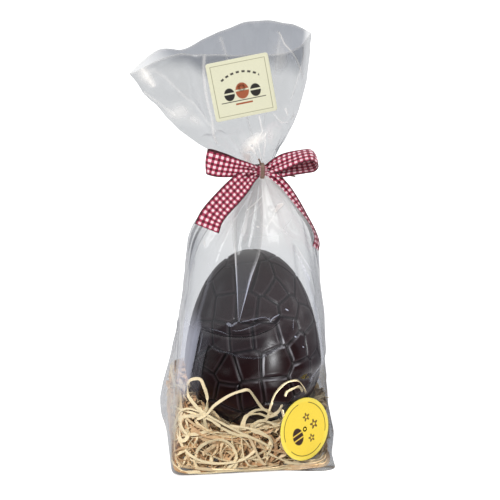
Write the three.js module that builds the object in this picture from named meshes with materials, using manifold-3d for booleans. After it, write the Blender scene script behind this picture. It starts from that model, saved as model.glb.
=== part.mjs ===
// A chocolate egg in its gift pack. A block-bottomed bag of clear film stands on a flat base, fits round the
// egg, is gathered at a neck and flares open above it. A pre-made bow of gingham ribbon is bound to the neck
// by a paper-covered twist tie. A square card label lies on the flare, a round sticker on a lower corner.
// Millimetres, +Z up, the front faces -Y, and the origin is the middle of the base.

import * as THREE from 'three';
import { mergeVertices } from 'three/addons/utils/BufferGeometryUtils.js';
import Module from 'manifold-3d';

// ---- Driving dimensions ----

const neck = { x: 9.5, low: 198.5, high: 203.5, radius: 6.6 };

// The bag below the neck: height, sideways lean, half width, half depth, squareness of the section.
const bodyStations = [
  [0, 0, 54.6, 50, 16],
  [1.2, 0, 55.8, 51.2, 16],
  [20, 0.8, 56, 51.5, 9],
  [45, 2.2, 53.2, 51, 6.5],
  [78, 3.4, 50, 50, 5],
  [115, 4.4, 46.2, 46.5, 4.4],
  [142, 5, 43, 41.5, 4],
  [156, 5.6, 39.8, 36.5, 3.4],
  [168, 6.4, 33.2, 29.5, 2.8],
  [181, 7.6, 22.5, 20.2, 2.4],
  [190.5, 8.8, 12, 11.5, 2.1],
  [neck.low, neck.x, neck.radius, neck.radius, 2],
  [neck.high, neck.x, neck.radius, neck.radius, 2],
];

// The cut edge of the film above the neck: angle round the neck in degrees, then x, y and z.
const mouthStations = [
  [0, 43, 1, 293],
  [45, 32, 15, 296],
  [90, 6, 22, 297],
  [135, -26, 16, 287.5],
  [150, -40, 12, 281.5],
  [165, -57, 6, 283],
  [180, -76, -4, 270],
  [200, -59, -8, 279],
  [225, -38, -14, 286],
  [270, -5, -23, 285],
  [315, 28, -17, 286],
  [360, 43, 1, 293],
];

// How quickly the film spreads above the neck, in front and behind and to either side. On the left, that changes
// from the neck to the mouth.
const flare = { spread: 1.6, leftSpread: [2.1, 1.08], rightSpread: 2.3, pleats: 13, ruffle: 2.6, wall: 2 };
const shoulderPleats = { count: 15, from: 118, depth: 0.075 };
// Corners of the base where the film stands out: the angle and width in degrees, how far it stands out at the
// base and a little above it, and the height where that ends.
const corners = [
  { angle: 137, width: 17, atBase: 4, above: 4, height: 95 },
  { angle: 313, width: 13, atBase: 5, above: 0, height: 30 },
  { angle: 333, width: 18, atBase: 1, above: 3.5, height: 60 },
];

const ribbon = { width: 16, thickness: 0.5, columns: 4, cup: -0.1 };
const knot = { x: 9.7, y: -11.8, z: 204.2, halfLength: 4.5, halfDepth: 2.9, halfHeight: 3.9 };

const tie = { width: 2.6, thickness: 0.7, innerRadius: 7.5, wireRadius: 0.55 };

// Stuck-on pieces: their turn in their own plane, and the way that plane faces and leans, in degrees.
const label = {
  centre: [-4.6, -19.5, 263.4], halfSize: 20.2, corner: 2, turn: 10.5, facing: 0, lean: -6, margin: 4, ease: 10,
};
const sticker = { centre: [36.2, -41, 26.3], halfSize: 21.8, turn: 12, facing: 34, lean: 12.5 };
const stuckOn = { thickness: 0.5, gap: 0.3 };

// The sticker holds the corner behind it flat: heights between which that begins and ends, and its softness.
const flatCorner = { begins: [0, 3.7], ends: [50, 82], soft: 1.2 };

const bagGrid = { around: 80, bodyRows: 30, flareRows: 18 };

// ---- Small helpers ----

const radians = THREE.MathUtils.degToRad;
const mix = THREE.MathUtils.lerp;
const smoothstep = THREE.MathUtils.smoothstep;
const vector = (values) => new THREE.Vector3(...values);

// Reads a column of a station table at a place between its stations, on a smooth curve through them.
function along(stations, place, column) {
  const last = stations.length - 1;
  const above = stations.findIndex((row) => row[0] > place);
  const i = above < 0 ? last - 1 : Math.max(above - 1, 0);
  const slope = (k) => {
    const [a, b] = [stations[Math.max(k - 1, 0)], stations[Math.min(k + 1, last)]];
    return (b[column] - a[column]) / (b[0] - a[0]);
  };
  const [from, to] = [stations[i], stations[i + 1]];
  const step = to[0] - from[0];
  const t = (place - from[0]) / step;
  const rise = t * t * (3 - 2 * t);
  return mix(from[column], to[column], rise)
    + step * t * (1 - t) * ((1 - t) * slope(i) - t * slope(i + 1));
}

// A closed skin over rings of points: a grid between the rings, and a fan over the first and the last.
function skinOf(rings) {
  const count = rings[0].length;
  const points = rings.flat();
  const index = [];
  for (let row = 0; row + 1 < rings.length; row += 1) {
    for (let i = 0; i < count; i += 1) {
      const [a, b] = [row * count + i, row * count + (i + 1) % count];
      index.push(a, b, b + count, a, b + count, a + count);
    }
  }
  [0, rings.length - 1].forEach((row) => {
    points.push(rings[row].reduce((sum, p) => sum.add(p), new THREE.Vector3()).divideScalar(count));
    for (let i = 0; i < count; i += 1) {
      const edge = [row * count + i, row * count + (i + 1) % count];
      index.push(points.length - 1, ...(row ? edge : edge.reverse()));
    }
  });
  return new THREE.BufferGeometry().setFromPoints(points).setIndex(index);
}

const wasm = await Module();
wasm.setup();

function solidOf(geometry) {
  const bare = geometry.clone();
  bare.deleteAttribute('normal').deleteAttribute('uv');
  const merged = mergeVertices(bare);
  return new wasm.Manifold(new wasm.Mesh({
    numProp: 3,
    vertProperties: merged.attributes.position.array,
    triVerts: new Uint32Array(merged.index.array),
  }));
}

function geometryOf(solid) {
  const mesh = solid.getMesh();
  const geometry = new THREE.BufferGeometry();
  geometry.setAttribute('position', new THREE.BufferAttribute(mesh.vertProperties, 3));
  geometry.setIndex(new THREE.BufferAttribute(mesh.triVerts, 1));
  geometry.computeVertexNormals();
  return geometry;
}

const ringOf = (count, pointAt) => Array.from({ length: count }, (_, i) => pointAt((2 * Math.PI * i) / count));

// ---- Stuck-on pieces ----

// Across, up and outwards for a stuck-on piece.
function frameOf({ centre, turn, facing, lean }) {
  const [f, l, t] = [facing, lean, turn].map(radians);
  const level = new THREE.Vector3(Math.cos(f), Math.sin(f), 0);
  const out = new THREE.Vector3(Math.sin(f) * Math.cos(l), -Math.cos(f) * Math.cos(l), Math.sin(l));
  const across = level.clone().applyAxisAngle(out, t);
  return { origin: vector(centre), across, up: out.clone().cross(across), out };
}

// Presses the film flat under a square piece and a margin round it, and eases it back beyond that.
function pressFlat(point, piece) {
  const { origin, across, up, out } = frameOf(piece);
  const offset = point.clone().sub(origin);
  const depth = offset.dot(out);
  const distance = Math.max(Math.abs(offset.dot(across)), Math.abs(offset.dot(up)));
  const flatTo = piece.halfSize + piece.margin;
  return point.addScaledVector(out, -depth * (1 - smoothstep(distance, flatTo, flatTo + piece.ease)));
}

// The outline of a stuck-on piece: a square with round corners, or a circle.
function outlineOf({ halfSize: h, corner }) {
  const shape = new THREE.Shape();
  if (!corner) return shape.absarc(0, 0, h, 0, 2 * Math.PI);
  const middles = [[h - corner, h - corner], [corner - h, h - corner], [corner - h, corner - h], [h - corner, corner - h]];
  middles.forEach(([x, y], k) => shape.absarc(x, y, corner, (k * Math.PI) / 2, ((k + 1) * Math.PI) / 2));
  return shape;
}

function stuckOnMesh(name, piece, material) {
  const geometry = new THREE.ExtrudeGeometry(outlineOf(piece), {
    depth: stuckOn.thickness, bevelEnabled: false, curveSegments: piece.corner ? 6 : 28,
  });
  const { origin, across, up, out } = frameOf(piece);
  const mesh = new THREE.Mesh(geometry, material);
  mesh.name = name;
  mesh.quaternion.setFromRotationMatrix(new THREE.Matrix4().makeBasis(across, up, out));
  mesh.position.copy(origin).addScaledVector(out, stuckOn.gap);
  return mesh;
}

// ---- The bag ----

// The body: a squared oval whose sides round off towards the neck, where the film is pleated.
function bodyPoint(angle, height) {
  const [lean, width, depth, square] = [1, 2, 3, 4].map((column) => along(bodyStations, height, column));
  const [c, s] = [Math.cos(angle), Math.sin(angle)];
  const oval = (Math.abs(c / width) ** square + Math.abs(s / depth) ** square) ** (-1 / square);
  const gathered = smoothstep(height, shoulderPleats.from, neck.low - 10);
  const pleat = Math.cos(shoulderPleats.count * angle + 2 * Math.sin(2 * angle));
  const reach = oval * (1 + shoulderPleats.depth * gathered * pleat) + cornerReach(angle, height);
  const held = heldFlat(reach, angle, lean, height);
  return new THREE.Vector3(lean + held * c, held * s, height);
}

// The reach of the film in one direction where the sticker's plane cuts the corner off.
function heldFlat(reach, angle, lean, height) {
  const { origin, out } = frameOf(sticker);
  const towards = out.x * Math.cos(angle) + out.y * Math.sin(angle);
  if (towards < 0.1) return reach;
  const plane = (out.dot(origin) - out.x * lean - out.z * height) / towards;
  const cut = (reach + plane - Math.hypot(reach - plane, flatCorner.soft)) / 2;
  const share = smoothstep(height, ...flatCorner.begins) * (1 - smoothstep(height, ...flatCorner.ends));
  return mix(reach, cut, share);
}

function cornerReach(angle, height) {
  return corners.reduce((sum, corner) => {
    const away = (THREE.MathUtils.radToDeg(angle) - corner.angle) / corner.width;
    const reach = mix(corner.atBase, corner.above, smoothstep(height, 0, 18));
    return sum + reach * Math.exp(-(away ** 2)) * (1 - smoothstep(height, 20, corner.height));
  }, 0);
}

// The flare: each line of the film runs from the neck to its place on the mouth, `share` of the way up.
function flarePoint(angle, share) {
  const [x, y, z] = [1, 2, 3].map((column) => along(mouthStations, THREE.MathUtils.radToDeg(angle), column));
  const start = bodyPoint(angle, neck.high);
  const sideSpread = Math.cos(angle) > 0 ? flare.rightSpread : mix(...flare.leftSpread, share);
  const spread = 1 - Math.max(1 - share, 0) ** mix(flare.spread, sideSpread, Math.cos(angle) ** 2);
  const wave = Math.cos(flare.pleats * angle + 3 * share) * Math.abs(Math.sin(angle));
  const ruffle = flare.ruffle * share * (1 - 0.55 * share) * wave;
  return new THREE.Vector3(mix(start.x, x, spread), mix(start.y, y, spread) + ruffle, mix(neck.high, z, share));
}

// Rows of the body lie closer together near the base edge and near the neck.
function bodyHeight(share) {
  const eased = share - 0.07 * Math.sin(2 * Math.PI * share);
  return share < 1 ? Math.max(neck.high * eased, 0) : neck.high;
}

function bagSolid() {
  const rows = bagGrid.bodyRows + bagGrid.flareRows;
  const rings = Array.from({ length: rows + 1 }, (_, row) => ringOf(bagGrid.around, (angle) => {
    if (row <= bagGrid.bodyRows) return bodyPoint(angle, bodyHeight(row / bagGrid.bodyRows));
    const point = flarePoint(angle, (row - bagGrid.bodyRows) / bagGrid.flareRows);
    return Math.sin(angle) < 0 ? pressFlat(point, label) : point;
  }));
  return solidOf(skinOf(rings)).subtract(mouthPlug());
}

// The open space inside the flare, from the mouth down to where the film closes up.
function mouthPlug() {
  const [around, steps, lowest, highest] = [40, 10, 0.4, 1.12];
  const rings = Array.from({ length: steps + 1 }, (_, step) => {
    const share = mix(lowest, highest, step / steps);
    const [right, back, left, front] = [0, 90, 152, 270].map((d) => flarePoint(radians(d), Math.min(share, 1)));
    const open = smoothstep(share, lowest, 0.85);
    const middle = [(right.x + left.x) / 2, (back.y + front.y) / 2];
    const halfWidth = ((right.x - left.x) / 2 - 2 * flare.wall) * mix(0.3, 0.8, open);
    const halfDepth = ((back.y - front.y) / 2 - 2 * flare.wall) * mix(0.4, 0.88, open);
    const height = mix(neck.high, 290, share);
    return ringOf(around, (angle) => new THREE.Vector3(
      middle[0] + halfWidth * Math.cos(angle), middle[1] + halfDepth * Math.sin(angle), height,
    ));
  });
  return solidOf(skinOf(rings));
}

// ---- The bow ----

// Each strip of the bow as keys: a point on its middle line, the way across it, and its share of the full width.
const strips = {
  leftLoop: [
    [[6.4, -12.6, 204.6], [0, 0, 1], 0.4],
    [[0, -16.5, 207], [0.05, 0, 1], 0.55],
    [[-9.4, -19.5, 209.4], [0.08, 0, 1], 0.82],
    [[-18.5, -20.5, 211.6], [0.06, 0, 1], 1.02],
    [[-25, -19.6, 213.2], [0.04, 0, 1], 1.05],
    [[-27, -17.6, 213.4], [0.04, 0, 1], 1.05],
    [[-25, -15.6, 213], [0.04, 0, 1], 1.04],
    [[-15, -14.8, 210], [0.08, 0, 1], 0.92],
    [[-3, -13.8, 206.4], [0.1, 0, 1], 0.6],
    [[6.4, -11.6, 204], [0, 0, 1], 0.4],
  ],
  rightLoop: [
    [[13, -12.2, 204.8], [0, -0.3, -0.95], 0.4],
    [[17.1, -15, 208], [0.15, -0.55, -0.8], 0.56],
    [[23.2, -17.5, 211.6], [0.2, -0.82, -0.5], 0.8],
    [[29.5, -19, 214.2], [0.12, -0.92, -0.34], 0.94],
    [[36.5, -19.5, 216.2], [0.05, -0.97, -0.22], 1],
    [[41.5, -19.5, 216.2], [0, -0.97, -0.22], 1],
    [[44.4, -19.5, 213], [0, -0.96, -0.26], 1],
    [[42.2, -19.5, 209.8], [0, -0.95, -0.3], 1],
    [[35.5, -19.5, 208.6], [0.05, -0.95, -0.3], 0.96],
    [[27, -18.5, 207.4], [0.1, -0.88, -0.4], 0.82],
    [[18.9, -15.5, 205.2], [0.1, -0.6, -0.75], 0.56],
    [[13, -12.6, 203.8], [0, -0.3, -0.95], 0.4],
  ],
  leftTail: [
    [[6.4, -12.8, 203.6], [0.3, -0.1, -0.95], 0.42],
    [[1, -17, 202.4], [0.55, -0.1, -0.82], 0.66],
    [[-5, -21.5, 198.8], [0.62, -0.15, -0.76], 0.88],
    [[-11.5, -26, 194], [0.66, -0.2, -0.72], 0.96],
    [[-20.8, -32, 186.6], [0.68, -0.25, -0.7], 0.96],
    [[-31, -38.2, 175.2], [0.68, -0.3, -0.68], 0.96],
  ],
  rightTail: [
    [[13, -12.4, 203.4], [0, -0.2, 1], 0.42],
    [[18.4, -16.5, 200.8], [0.4, -0.35, 0.85], 0.5],
    [[23.8, -20, 196.2], [0.5, -0.6, 0.6], 0.5],
    [[28.4, -23, 190.3], [0.4, -0.85, 0.35], 0.6],
    [[35.2, -27.5, 180], [0.2, -0.95, 0.15], 0.8],
    [[41.2, -31, 170], [0.1, -0.98, 0.08], 0.9],
    [[43.6, -33.5, 162.5], [0.06, -0.99, 0.05], 0.9],
    [[42.8, -34.5, 156.5], [0.06, -0.99, 0.05], 0.85],
  ],
};

// A flat strip swept along its keys, a little cupped across.
function stripSolid(keys) {
  const line = new THREE.CatmullRomCurve3(keys.map(([at]) => vector(at)), false, 'centripetal');
  const sides = new THREE.CatmullRomCurve3(keys.map(([, across]) => vector(across)));
  const shares = keys.map(([, , share], k) => [k / (keys.length - 1), share]);
  const steps = 3 * (keys.length - 1);
  const rings = Array.from({ length: steps + 1 }, (_, step) => {
    const t = step / steps;
    const tangent = line.getTangent(t);
    const normal = tangent.clone().cross(sides.getPoint(t)).normalize();
    const side = normal.clone().cross(tangent);
    const half = (ribbon.width / 2) * along(shares, t, 1);
    const pointAt = (i, face) => {
      const s = (2 * i) / ribbon.columns - 1;
      const lift = ribbon.cup * half * (1 - s * s) + (face * ribbon.thickness) / 2;
      return line.getPoint(t).addScaledVector(side, s * half).addScaledVector(normal, lift);
    };
    const columns = [...Array(ribbon.columns + 1).keys()];
    return [...columns.map((i) => pointAt(i, -1)), ...columns.reverse().map((i) => pointAt(i, 1))];
  });
  return solidOf(skinOf(rings));
}

function bowSolid() {
  const core = new THREE.SphereGeometry(1, 20, 14);
  core.scale(knot.halfLength, knot.halfDepth, knot.halfHeight).translate(knot.x, knot.y, knot.z);
  return Object.values(strips).reduce((bow, keys) => bow.add(stripSolid(keys)), solidOf(core));
}

// ---- The twist tie ----

// A round wire along a few points.
function wireSolid(points) {
  const section = new THREE.Shape().absarc(0, 0, tie.wireRadius, 0, 2 * Math.PI);
  const path = new THREE.CatmullRomCurve3(points.map(vector));
  return solidOf(new THREE.ExtrudeGeometry(section, { steps: 8, curveSegments: 8, extrudePath: path }));
}

// The band round the neck.
function neckBand() {
  const outer = tie.innerRadius + tie.thickness;
  const middle = (neck.low + neck.high) / 2;
  const [low, high] = [middle - tie.width / 2, middle + tie.width / 2];
  const profile = [[tie.innerRadius, low], [outer, low], [outer, high], [tie.innerRadius, high], [tie.innerRadius, low]];
  const band = new THREE.LatheGeometry(profile.map(([r, z]) => new THREE.Vector2(r, z)), 32);
  return solidOf(band.rotateX(Math.PI / 2).translate(neck.x, 0, 0));
}

// The band over the middle of the bow, a rounded frame that the ribbon passes through.
function bowBand() {
  const clearance = 0.3;
  const [y, z] = [knot.halfDepth + clearance, knot.halfHeight + clearance];
  const frame = (grow) => {
    const path = new THREE.Shape();
    const [a, b, r] = [y + grow, z + grow, 1.4 + grow];
    [[a, b], [-a, b], [-a, -b], [a, -b]].forEach(([cy, cz], k) => {
      path.absarc(cy - Math.sign(cy) * r, cz - Math.sign(cz) * r, r, (k * Math.PI) / 2, ((k + 1) * Math.PI) / 2);
    });
    return path;
  };
  const outline = frame(tie.thickness);
  outline.holes.push(frame(0));
  const band = new THREE.ExtrudeGeometry(outline, { depth: tie.width, bevelEnabled: false, curveSegments: 5 });
  band.translate(0, 0, -tie.width / 2).rotateX(Math.PI / 2).rotateZ(Math.PI / 2);
  return solidOf(band.translate(knot.x, knot.y, knot.z));
}

function tieSolid() {
  const end = wireSolid([[neck.x + 7.8, -1, 201], [neck.x + 9.5, -5, 201.2], [22, -8, 200.6], [32.4, -9.5, 198.7]]);
  const stub = wireSolid([[8.8, -11.6, 208.95], [8.2, -11.9, 210.8], [7.4, -12.4, 212.6]]);
  return neckBand().add(bowBand()).add(end).add(stub);
}

// ---- The pack ----

function meshOf(name, solid, material) {
  const mesh = new THREE.Mesh(geometryOf(solid), material);
  mesh.name = name;
  return mesh;
}

const finish = (color, roughness, extra = {}) => new THREE.MeshStandardMaterial({ color, roughness, ...extra });

const pack = new THREE.Group();
pack.add(
  meshOf('film_bag', bagSolid(), finish(0xd9dadd, 0.15, { transparent: true, opacity: 0.5 })),
  meshOf('gingham_bow', bowSolid(), finish(0xa83c55, 0.8)),
  meshOf('twist_tie', tieSolid(), finish(0x9a7b4f, 0.5)),
  stuckOnMesh('card_label', label, finish(0xe8e6c8, 0.6)),
  stuckOnMesh('round_sticker', sticker, finish(0xf8d23c, 0.45)),
);

export default pack;
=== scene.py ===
"""A chocolate egg on wood straw in a clear film gift bag, tied with a gingham bow under a flared top.

Lengths are in millimetres and turn to metres where a mesh is made. Angles round the bag start at +X and run
anticlockwise seen from above, so 270 degrees is the front. Every surface is a grid of points worked out from
a few named sizes, the same ones that the solids are made from.
"""

import math

import bpy
import numpy as np
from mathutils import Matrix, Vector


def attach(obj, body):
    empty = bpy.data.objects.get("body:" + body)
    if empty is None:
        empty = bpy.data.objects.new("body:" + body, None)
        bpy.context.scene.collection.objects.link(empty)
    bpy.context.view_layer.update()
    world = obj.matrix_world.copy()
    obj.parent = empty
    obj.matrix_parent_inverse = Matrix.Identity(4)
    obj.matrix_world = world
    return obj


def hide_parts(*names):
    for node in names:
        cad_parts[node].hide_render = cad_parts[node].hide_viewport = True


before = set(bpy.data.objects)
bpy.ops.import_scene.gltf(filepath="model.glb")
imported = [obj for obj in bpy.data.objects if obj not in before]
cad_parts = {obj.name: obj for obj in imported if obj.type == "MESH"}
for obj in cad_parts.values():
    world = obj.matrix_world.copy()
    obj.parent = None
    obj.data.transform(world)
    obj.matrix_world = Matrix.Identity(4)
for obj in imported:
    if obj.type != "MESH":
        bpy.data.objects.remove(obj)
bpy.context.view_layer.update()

MM = 0.001

# ---------------------------------------------------------------------------------------------------------
# Camera, floor and light
# ---------------------------------------------------------------------------------------------------------

CAMERA = {
    "azimuth": -6.0, "elevation": 21.0, "distance": 1000.0, "height": 150.0, "lens": 105.84, "sensor": 36.0,
    "shift": (0.009, -0.017),
}

# Softboxes: azimuth, elevation and distance, width and height, power, and the pieces that they light alone or
# leave out.
STRAW_PIECES = ["wood_straw_nest", "wood_straw_front"]
EGG_PIECES = ["chocolate_egg"]
IN_THE_BAG = EGG_PIECES + STRAW_PIECES
SOFTBOXES = {
    "overhead": {"way": (10, 74, 1500), "size": (1300, 1300), "power": 8, "not_for": IN_THE_BAG},
    "key": {"way": (-38, 52, 1500), "size": (700, 900), "power": 5.8, "not_for": IN_THE_BAG},
    "back": {"way": (165, 40, 1500), "size": (1000, 700), "power": 2},
    "window": {"way": (26, -7, 700), "size": (110, 74), "power": 4.4, "only_for": EGG_PIECES},
    "left_strip": {"way": (-100, 14, 1300), "size": (200, 700), "power": 2.5, "only_for": EGG_PIECES},
    "right_strip": {"way": (98, 12, 1300), "size": (200, 700), "power": 2.5, "only_for": EGG_PIECES},
    "low_sun": {"way": (-44, 36, 1300), "size": (160, 160), "power": 35, "only_for": STRAW_PIECES},
}
LIGHTS_AIM = (0, 0, 120)
FLOOR_HALF = 12000

# The room that mirrors see: its strength above the horizon, in front and behind, and where those change, as
# the upward and backward parts of the way looked.
ROOM = {
    "colour": "f7f7f9", "above": 0.55, "horizon": (-0.3, -0.1), "front": 0.02, "behind": 0.75,
    "to_behind": (-0.35, 0.3),
}


def look_from(azimuth, elevation, distance, target):
    """Place and rotation of something that looks at target: azimuth 0 looks along +Y, in degrees."""
    a, e = math.radians(azimuth), math.radians(elevation)
    back = np.array([math.sin(a) * math.cos(e), -math.cos(a) * math.cos(e), math.sin(e)])
    place = (np.array(target) + distance * back) * MM
    return place, Vector((-back).tolist()).to_track_quat("-Z", "Y").to_euler()


def make_camera():
    """The camera in front of the pack, a little left of its middle and above it."""
    data = bpy.data.cameras.new("camera")
    data.lens, data.sensor_width = CAMERA["lens"], CAMERA["sensor"]
    data.shift_x, data.shift_y = CAMERA["shift"]
    data.clip_start, data.clip_end = 0.05, 50.0
    camera = bpy.data.objects.new("camera", data)
    camera.location, camera.rotation_euler = look_from(
        CAMERA["azimuth"], CAMERA["elevation"], CAMERA["distance"], (0, 0, CAMERA["height"])
    )
    bpy.context.collection.objects.link(camera)
    bpy.context.scene.camera = camera


def softbox(name, way, size, power, only_for=(), not_for=()):
    """A soft rectangular light that faces the egg. It lights everything, or only the pieces named, or all but
    those named."""
    data = bpy.data.lights.new(name, "AREA")
    data.shape, data.size, data.size_y = "RECTANGLE", size[0] * MM, size[1] * MM
    data.energy = power
    lamp = bpy.data.objects.new(name, data)
    lamp.location, lamp.rotation_euler = look_from(*way, LIGHTS_AIM)
    bpy.context.collection.objects.link(lamp)
    if only_for or not_for:
        lit = bpy.data.collections.new(name + " lights")
        for title in only_for or not_for:
            lit.objects.link(bpy.data.objects[title])
        for member in lit.collection_objects:
            member.light_linking.link_state = "INCLUDE" if only_for else "EXCLUDE"
        lamp.light_linking.receiver_collection = lit


def make_floor():
    """A flat floor that no mirror sees, as the stage."""
    size = FLOOR_HALF * MM
    mesh = bpy.data.meshes.new("floor")
    corners = [(-size, -size, 0), (size, -size, 0), (size, size, 0), (-size, size, 0)]
    mesh.from_pydata(corners, [], [(0, 1, 2, 3)])
    floor = bpy.data.objects.new("floor", mesh)
    bpy.context.collection.objects.link(floor)
    mesh.materials.append(pale_floor())
    floor.visible_glossy = False


def make_room():
    """Mirrors see a pale room all round, but for a dark part low in front, so the upright film in front of
    the egg stays clear and the film that leans back above it turns hazy."""
    world = bpy.data.worlds.new("studio")
    world.use_nodes = True
    tree = world.node_tree
    tree.nodes.clear()
    low, high = ROOM["horizon"]
    near, far = ROOM["to_behind"]
    way = node(tree, "SeparateXYZ", {0: node(tree, "TexCoord").outputs["Generated"]})
    above = node(tree, "MapRange", {0: way.outputs["Z"], 1: low, 2: high})
    behind = node(tree, "MapRange", {
        0: way.outputs["Y"], 1: near, 2: far, 3: ROOM["front"], 4: ROOM["behind"],
    })
    sky = node(tree, "Math", {0: above, 1: ROOM["above"]}, operation="MULTIPLY")
    strength = node(tree, "Math", {0: sky, 1: behind}, operation="MAXIMUM")
    light = node(tree, "Background", {"Color": linear(ROOM["colour"]), "Strength": strength})
    node(tree, "OutputWorld", {0: light})
    bpy.context.scene.world = world


def make_studio():
    """A pale floor under soft white light. Many layers of clear film lie behind one another, so light may
    pass straight through forty of them."""
    make_floor()
    for name, light in SOFTBOXES.items():
        softbox(name, **light)
    make_room()
    bpy.context.scene.view_settings.view_transform = "Standard"
    bpy.context.scene.cycles.transparent_max_bounces = 40


# ---------------------------------------------------------------------------------------------------------
# Arrays, noise and meshes
# ---------------------------------------------------------------------------------------------------------

def mix(a, b, t):
    """a where t is 0, b where it is 1, and evenly between."""
    return a + (b - a) * t


def smoothstep(x, low, high):
    """0 up to low, 1 from high on, with an S-shaped rise between; where high is the lower one it falls."""
    t = np.clip((np.asarray(x, float) - low) / (high - low), 0, 1)
    return t * t * (3 - 2 * t)


def unit(vectors):
    """Vectors of length 1 the same way."""
    return vectors / np.maximum(np.linalg.norm(vectors, axis=-1, keepdims=True), 1e-9)


def along(stations, place, column):
    """Reads a column of a station table between its stations, on a cubic curve with smooth slopes."""
    table = np.array(stations, float)
    x, y = table[:, 0], table[:, column]
    before, after = np.r_[0, np.arange(len(x) - 1)], np.r_[np.arange(1, len(x)), len(x) - 1]
    slope = (y[after] - y[before]) / (x[after] - x[before])
    i = np.clip(np.searchsorted(x, place, side="right") - 1, 0, len(x) - 2)
    step = x[i + 1] - x[i]
    t = (place - x[i]) / step
    bend = (1 - t) * slope[i] - t * slope[i + 1]
    return mix(y[i], y[i + 1], t * t * (3 - 2 * t)) + step * t * (1 - t) * bend


def curve(keys, t):
    """A smooth curve through the rows of keys, t running from 0 at the first to 1 at the last."""
    keys = np.array(keys, float)
    place = np.arange(len(keys), dtype=float)
    table = np.column_stack([place, keys])
    return np.stack([along(table, t * (len(keys) - 1), 1 + k) for k in range(keys.shape[1])], -1)


CELLS = 32
LATTICE = np.random.default_rng(11).uniform(-1, 1, (CELLS, CELLS, CELLS))


def noise(points, scale, shift=0.0):
    """Smooth noise from -1 to 1: random values on a lattice `scale` mm apart, blended between its corners."""
    p = points / scale + shift
    cell = np.floor(p).astype(int)
    f = p - cell
    f = f * f * (3 - 2 * f)
    total = 0.0
    for corner in np.ndindex(2, 2, 2):
        weight = np.prod(np.where(corner, f, 1 - f), axis=-1)
        i, j, k = np.moveaxis((cell + corner) % CELLS, -1, 0)
        total = total + weight * LATTICE[i, j, k]
    return total


def grid_faces(rows, columns, closed):
    """Quads between the points of a grid, as rows of four point numbers. Closed joins its columns round."""
    r, c = np.meshgrid(np.arange(rows - 1), np.arange(columns if closed else columns - 1), indexing="ij")
    here, beside = r * columns + c, r * columns + (c + 1) % columns
    return np.stack([here, beside, beside + columns, here + columns], -1).reshape(-1, 4)


def fan(ring, pole, up):
    """Triangles from a ring of point numbers to a pole."""
    turned = np.roll(ring, -1)
    pair = (ring, turned) if up else (turned, ring)
    return np.stack([*pair, np.full_like(ring, pole)], -1)


def piece(name, points, quads, triangles=None, uv=None, values=None, material=None, node_names=()):
    """Makes a smooth mesh object from points in mm, with its UV map in mm and its point values, if any.

    It rides on the one body, replaces the nodes named and takes its finish from the slot.
    """
    mesh = bpy.data.meshes.new(name)
    triangles = np.empty((0, 3), int) if triangles is None else triangles
    corners = np.concatenate([quads.ravel(), triangles.ravel()])
    starts = np.concatenate([4 * np.arange(len(quads)), 4 * len(quads) + 3 * np.arange(len(triangles))])
    mesh.vertices.add(len(points))
    mesh.vertices.foreach_set("co", (points * MM).astype(np.float32).ravel())
    mesh.loops.add(len(corners))
    mesh.loops.foreach_set("vertex_index", corners.astype(np.int32))
    mesh.polygons.add(len(starts))
    mesh.polygons.foreach_set("loop_start", starts.astype(np.int32))
    if uv is not None:
        mesh.uv_layers.new(name="UVMap").data.foreach_set("uv", uv[corners].astype(np.float32).ravel())
    for title, value in (values or {}).items():
        told = mesh.attributes.new(title, "FLOAT", "POINT")
        told.data.foreach_set("value", value.astype(np.float32).ravel())
    mesh.update(calc_edges=True)
    mesh.validate()
    mesh.shade_smooth()
    made = bpy.data.objects.new(name, mesh)
    bpy.context.collection.objects.link(made)
    mesh.materials.append(material)
    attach(made, "root")
    if node_names:
        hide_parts(*node_names)
    return made


# ---------------------------------------------------------------------------------------------------------
# The film bag
# ---------------------------------------------------------------------------------------------------------

NECK = {"x": 9.5, "low": 198.5, "high": 203.5, "radius": 6.6}

# Height, sideways lean, half width, half depth and squareness of the bag's section.
BODY_STATIONS = [
    (0, 0, 54.6, 50, 16),
    (1.2, 0, 55.8, 51.2, 16),
    (20, 0.8, 56, 51.5, 9),
    (45, 2.2, 53.2, 51, 6.5),
    (78, 3.4, 50, 50, 5),
    (115, 4.4, 46.2, 46.5, 4.4),
    (142, 5, 43, 41.5, 4),
    (156, 5.6, 39.8, 36.5, 3.4),
    (168, 6.4, 33.2, 29.5, 2.8),
    (181, 7.6, 22.5, 20.2, 2.4),
    (190.5, 8.8, 12, 11.5, 2.1),
    (NECK["low"], NECK["x"], NECK["radius"], NECK["radius"], 2),
    (NECK["high"], NECK["x"], NECK["radius"], NECK["radius"], 2),
]

# The cut edge of the film above the neck: angle round the neck in degrees, then x, y and z.
MOUTH_STATIONS = [
    (0, 43, 1, 293),
    (45, 32, 15, 296),
    (90, 6, 22, 297),
    (135, -26, 16, 287.5),
    (150, -40, 12, 281.5),
    (165, -57, 6, 283),
    (180, -76, -4, 270),
    (200, -59, -8, 279),
    (225, -38, -14, 286),
    (270, -5, -23, 285),
    (315, 28, -17, 286),
    (360, 43, 1, 293),
]

# How quickly the film spreads above the neck, in front and behind and to either side. On the left, that
# changes from the neck to the mouth.
FLARE = {
    "spread": 1.6, "left_spread": (2.1, 1.08), "right_spread": 2.3, "pleats": 13, "ruffle": 2.6, "calm": 0.12,
}
SHOULDER_PLEATS = {"count": 15, "from": 118, "depth": 0.075}

# Corners of the base where the film stands out: angle and width in degrees, how far it stands out at the base
# and a little above it, and the height where that ends.
CORNERS = [(137, 17, 4, 4, 95), (313, 13, 5, 0, 30), (333, 18, 1, 3.5, 60)]
CORNER_HEIGHTS = {"above": 18, "falls_from": 20}

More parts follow.
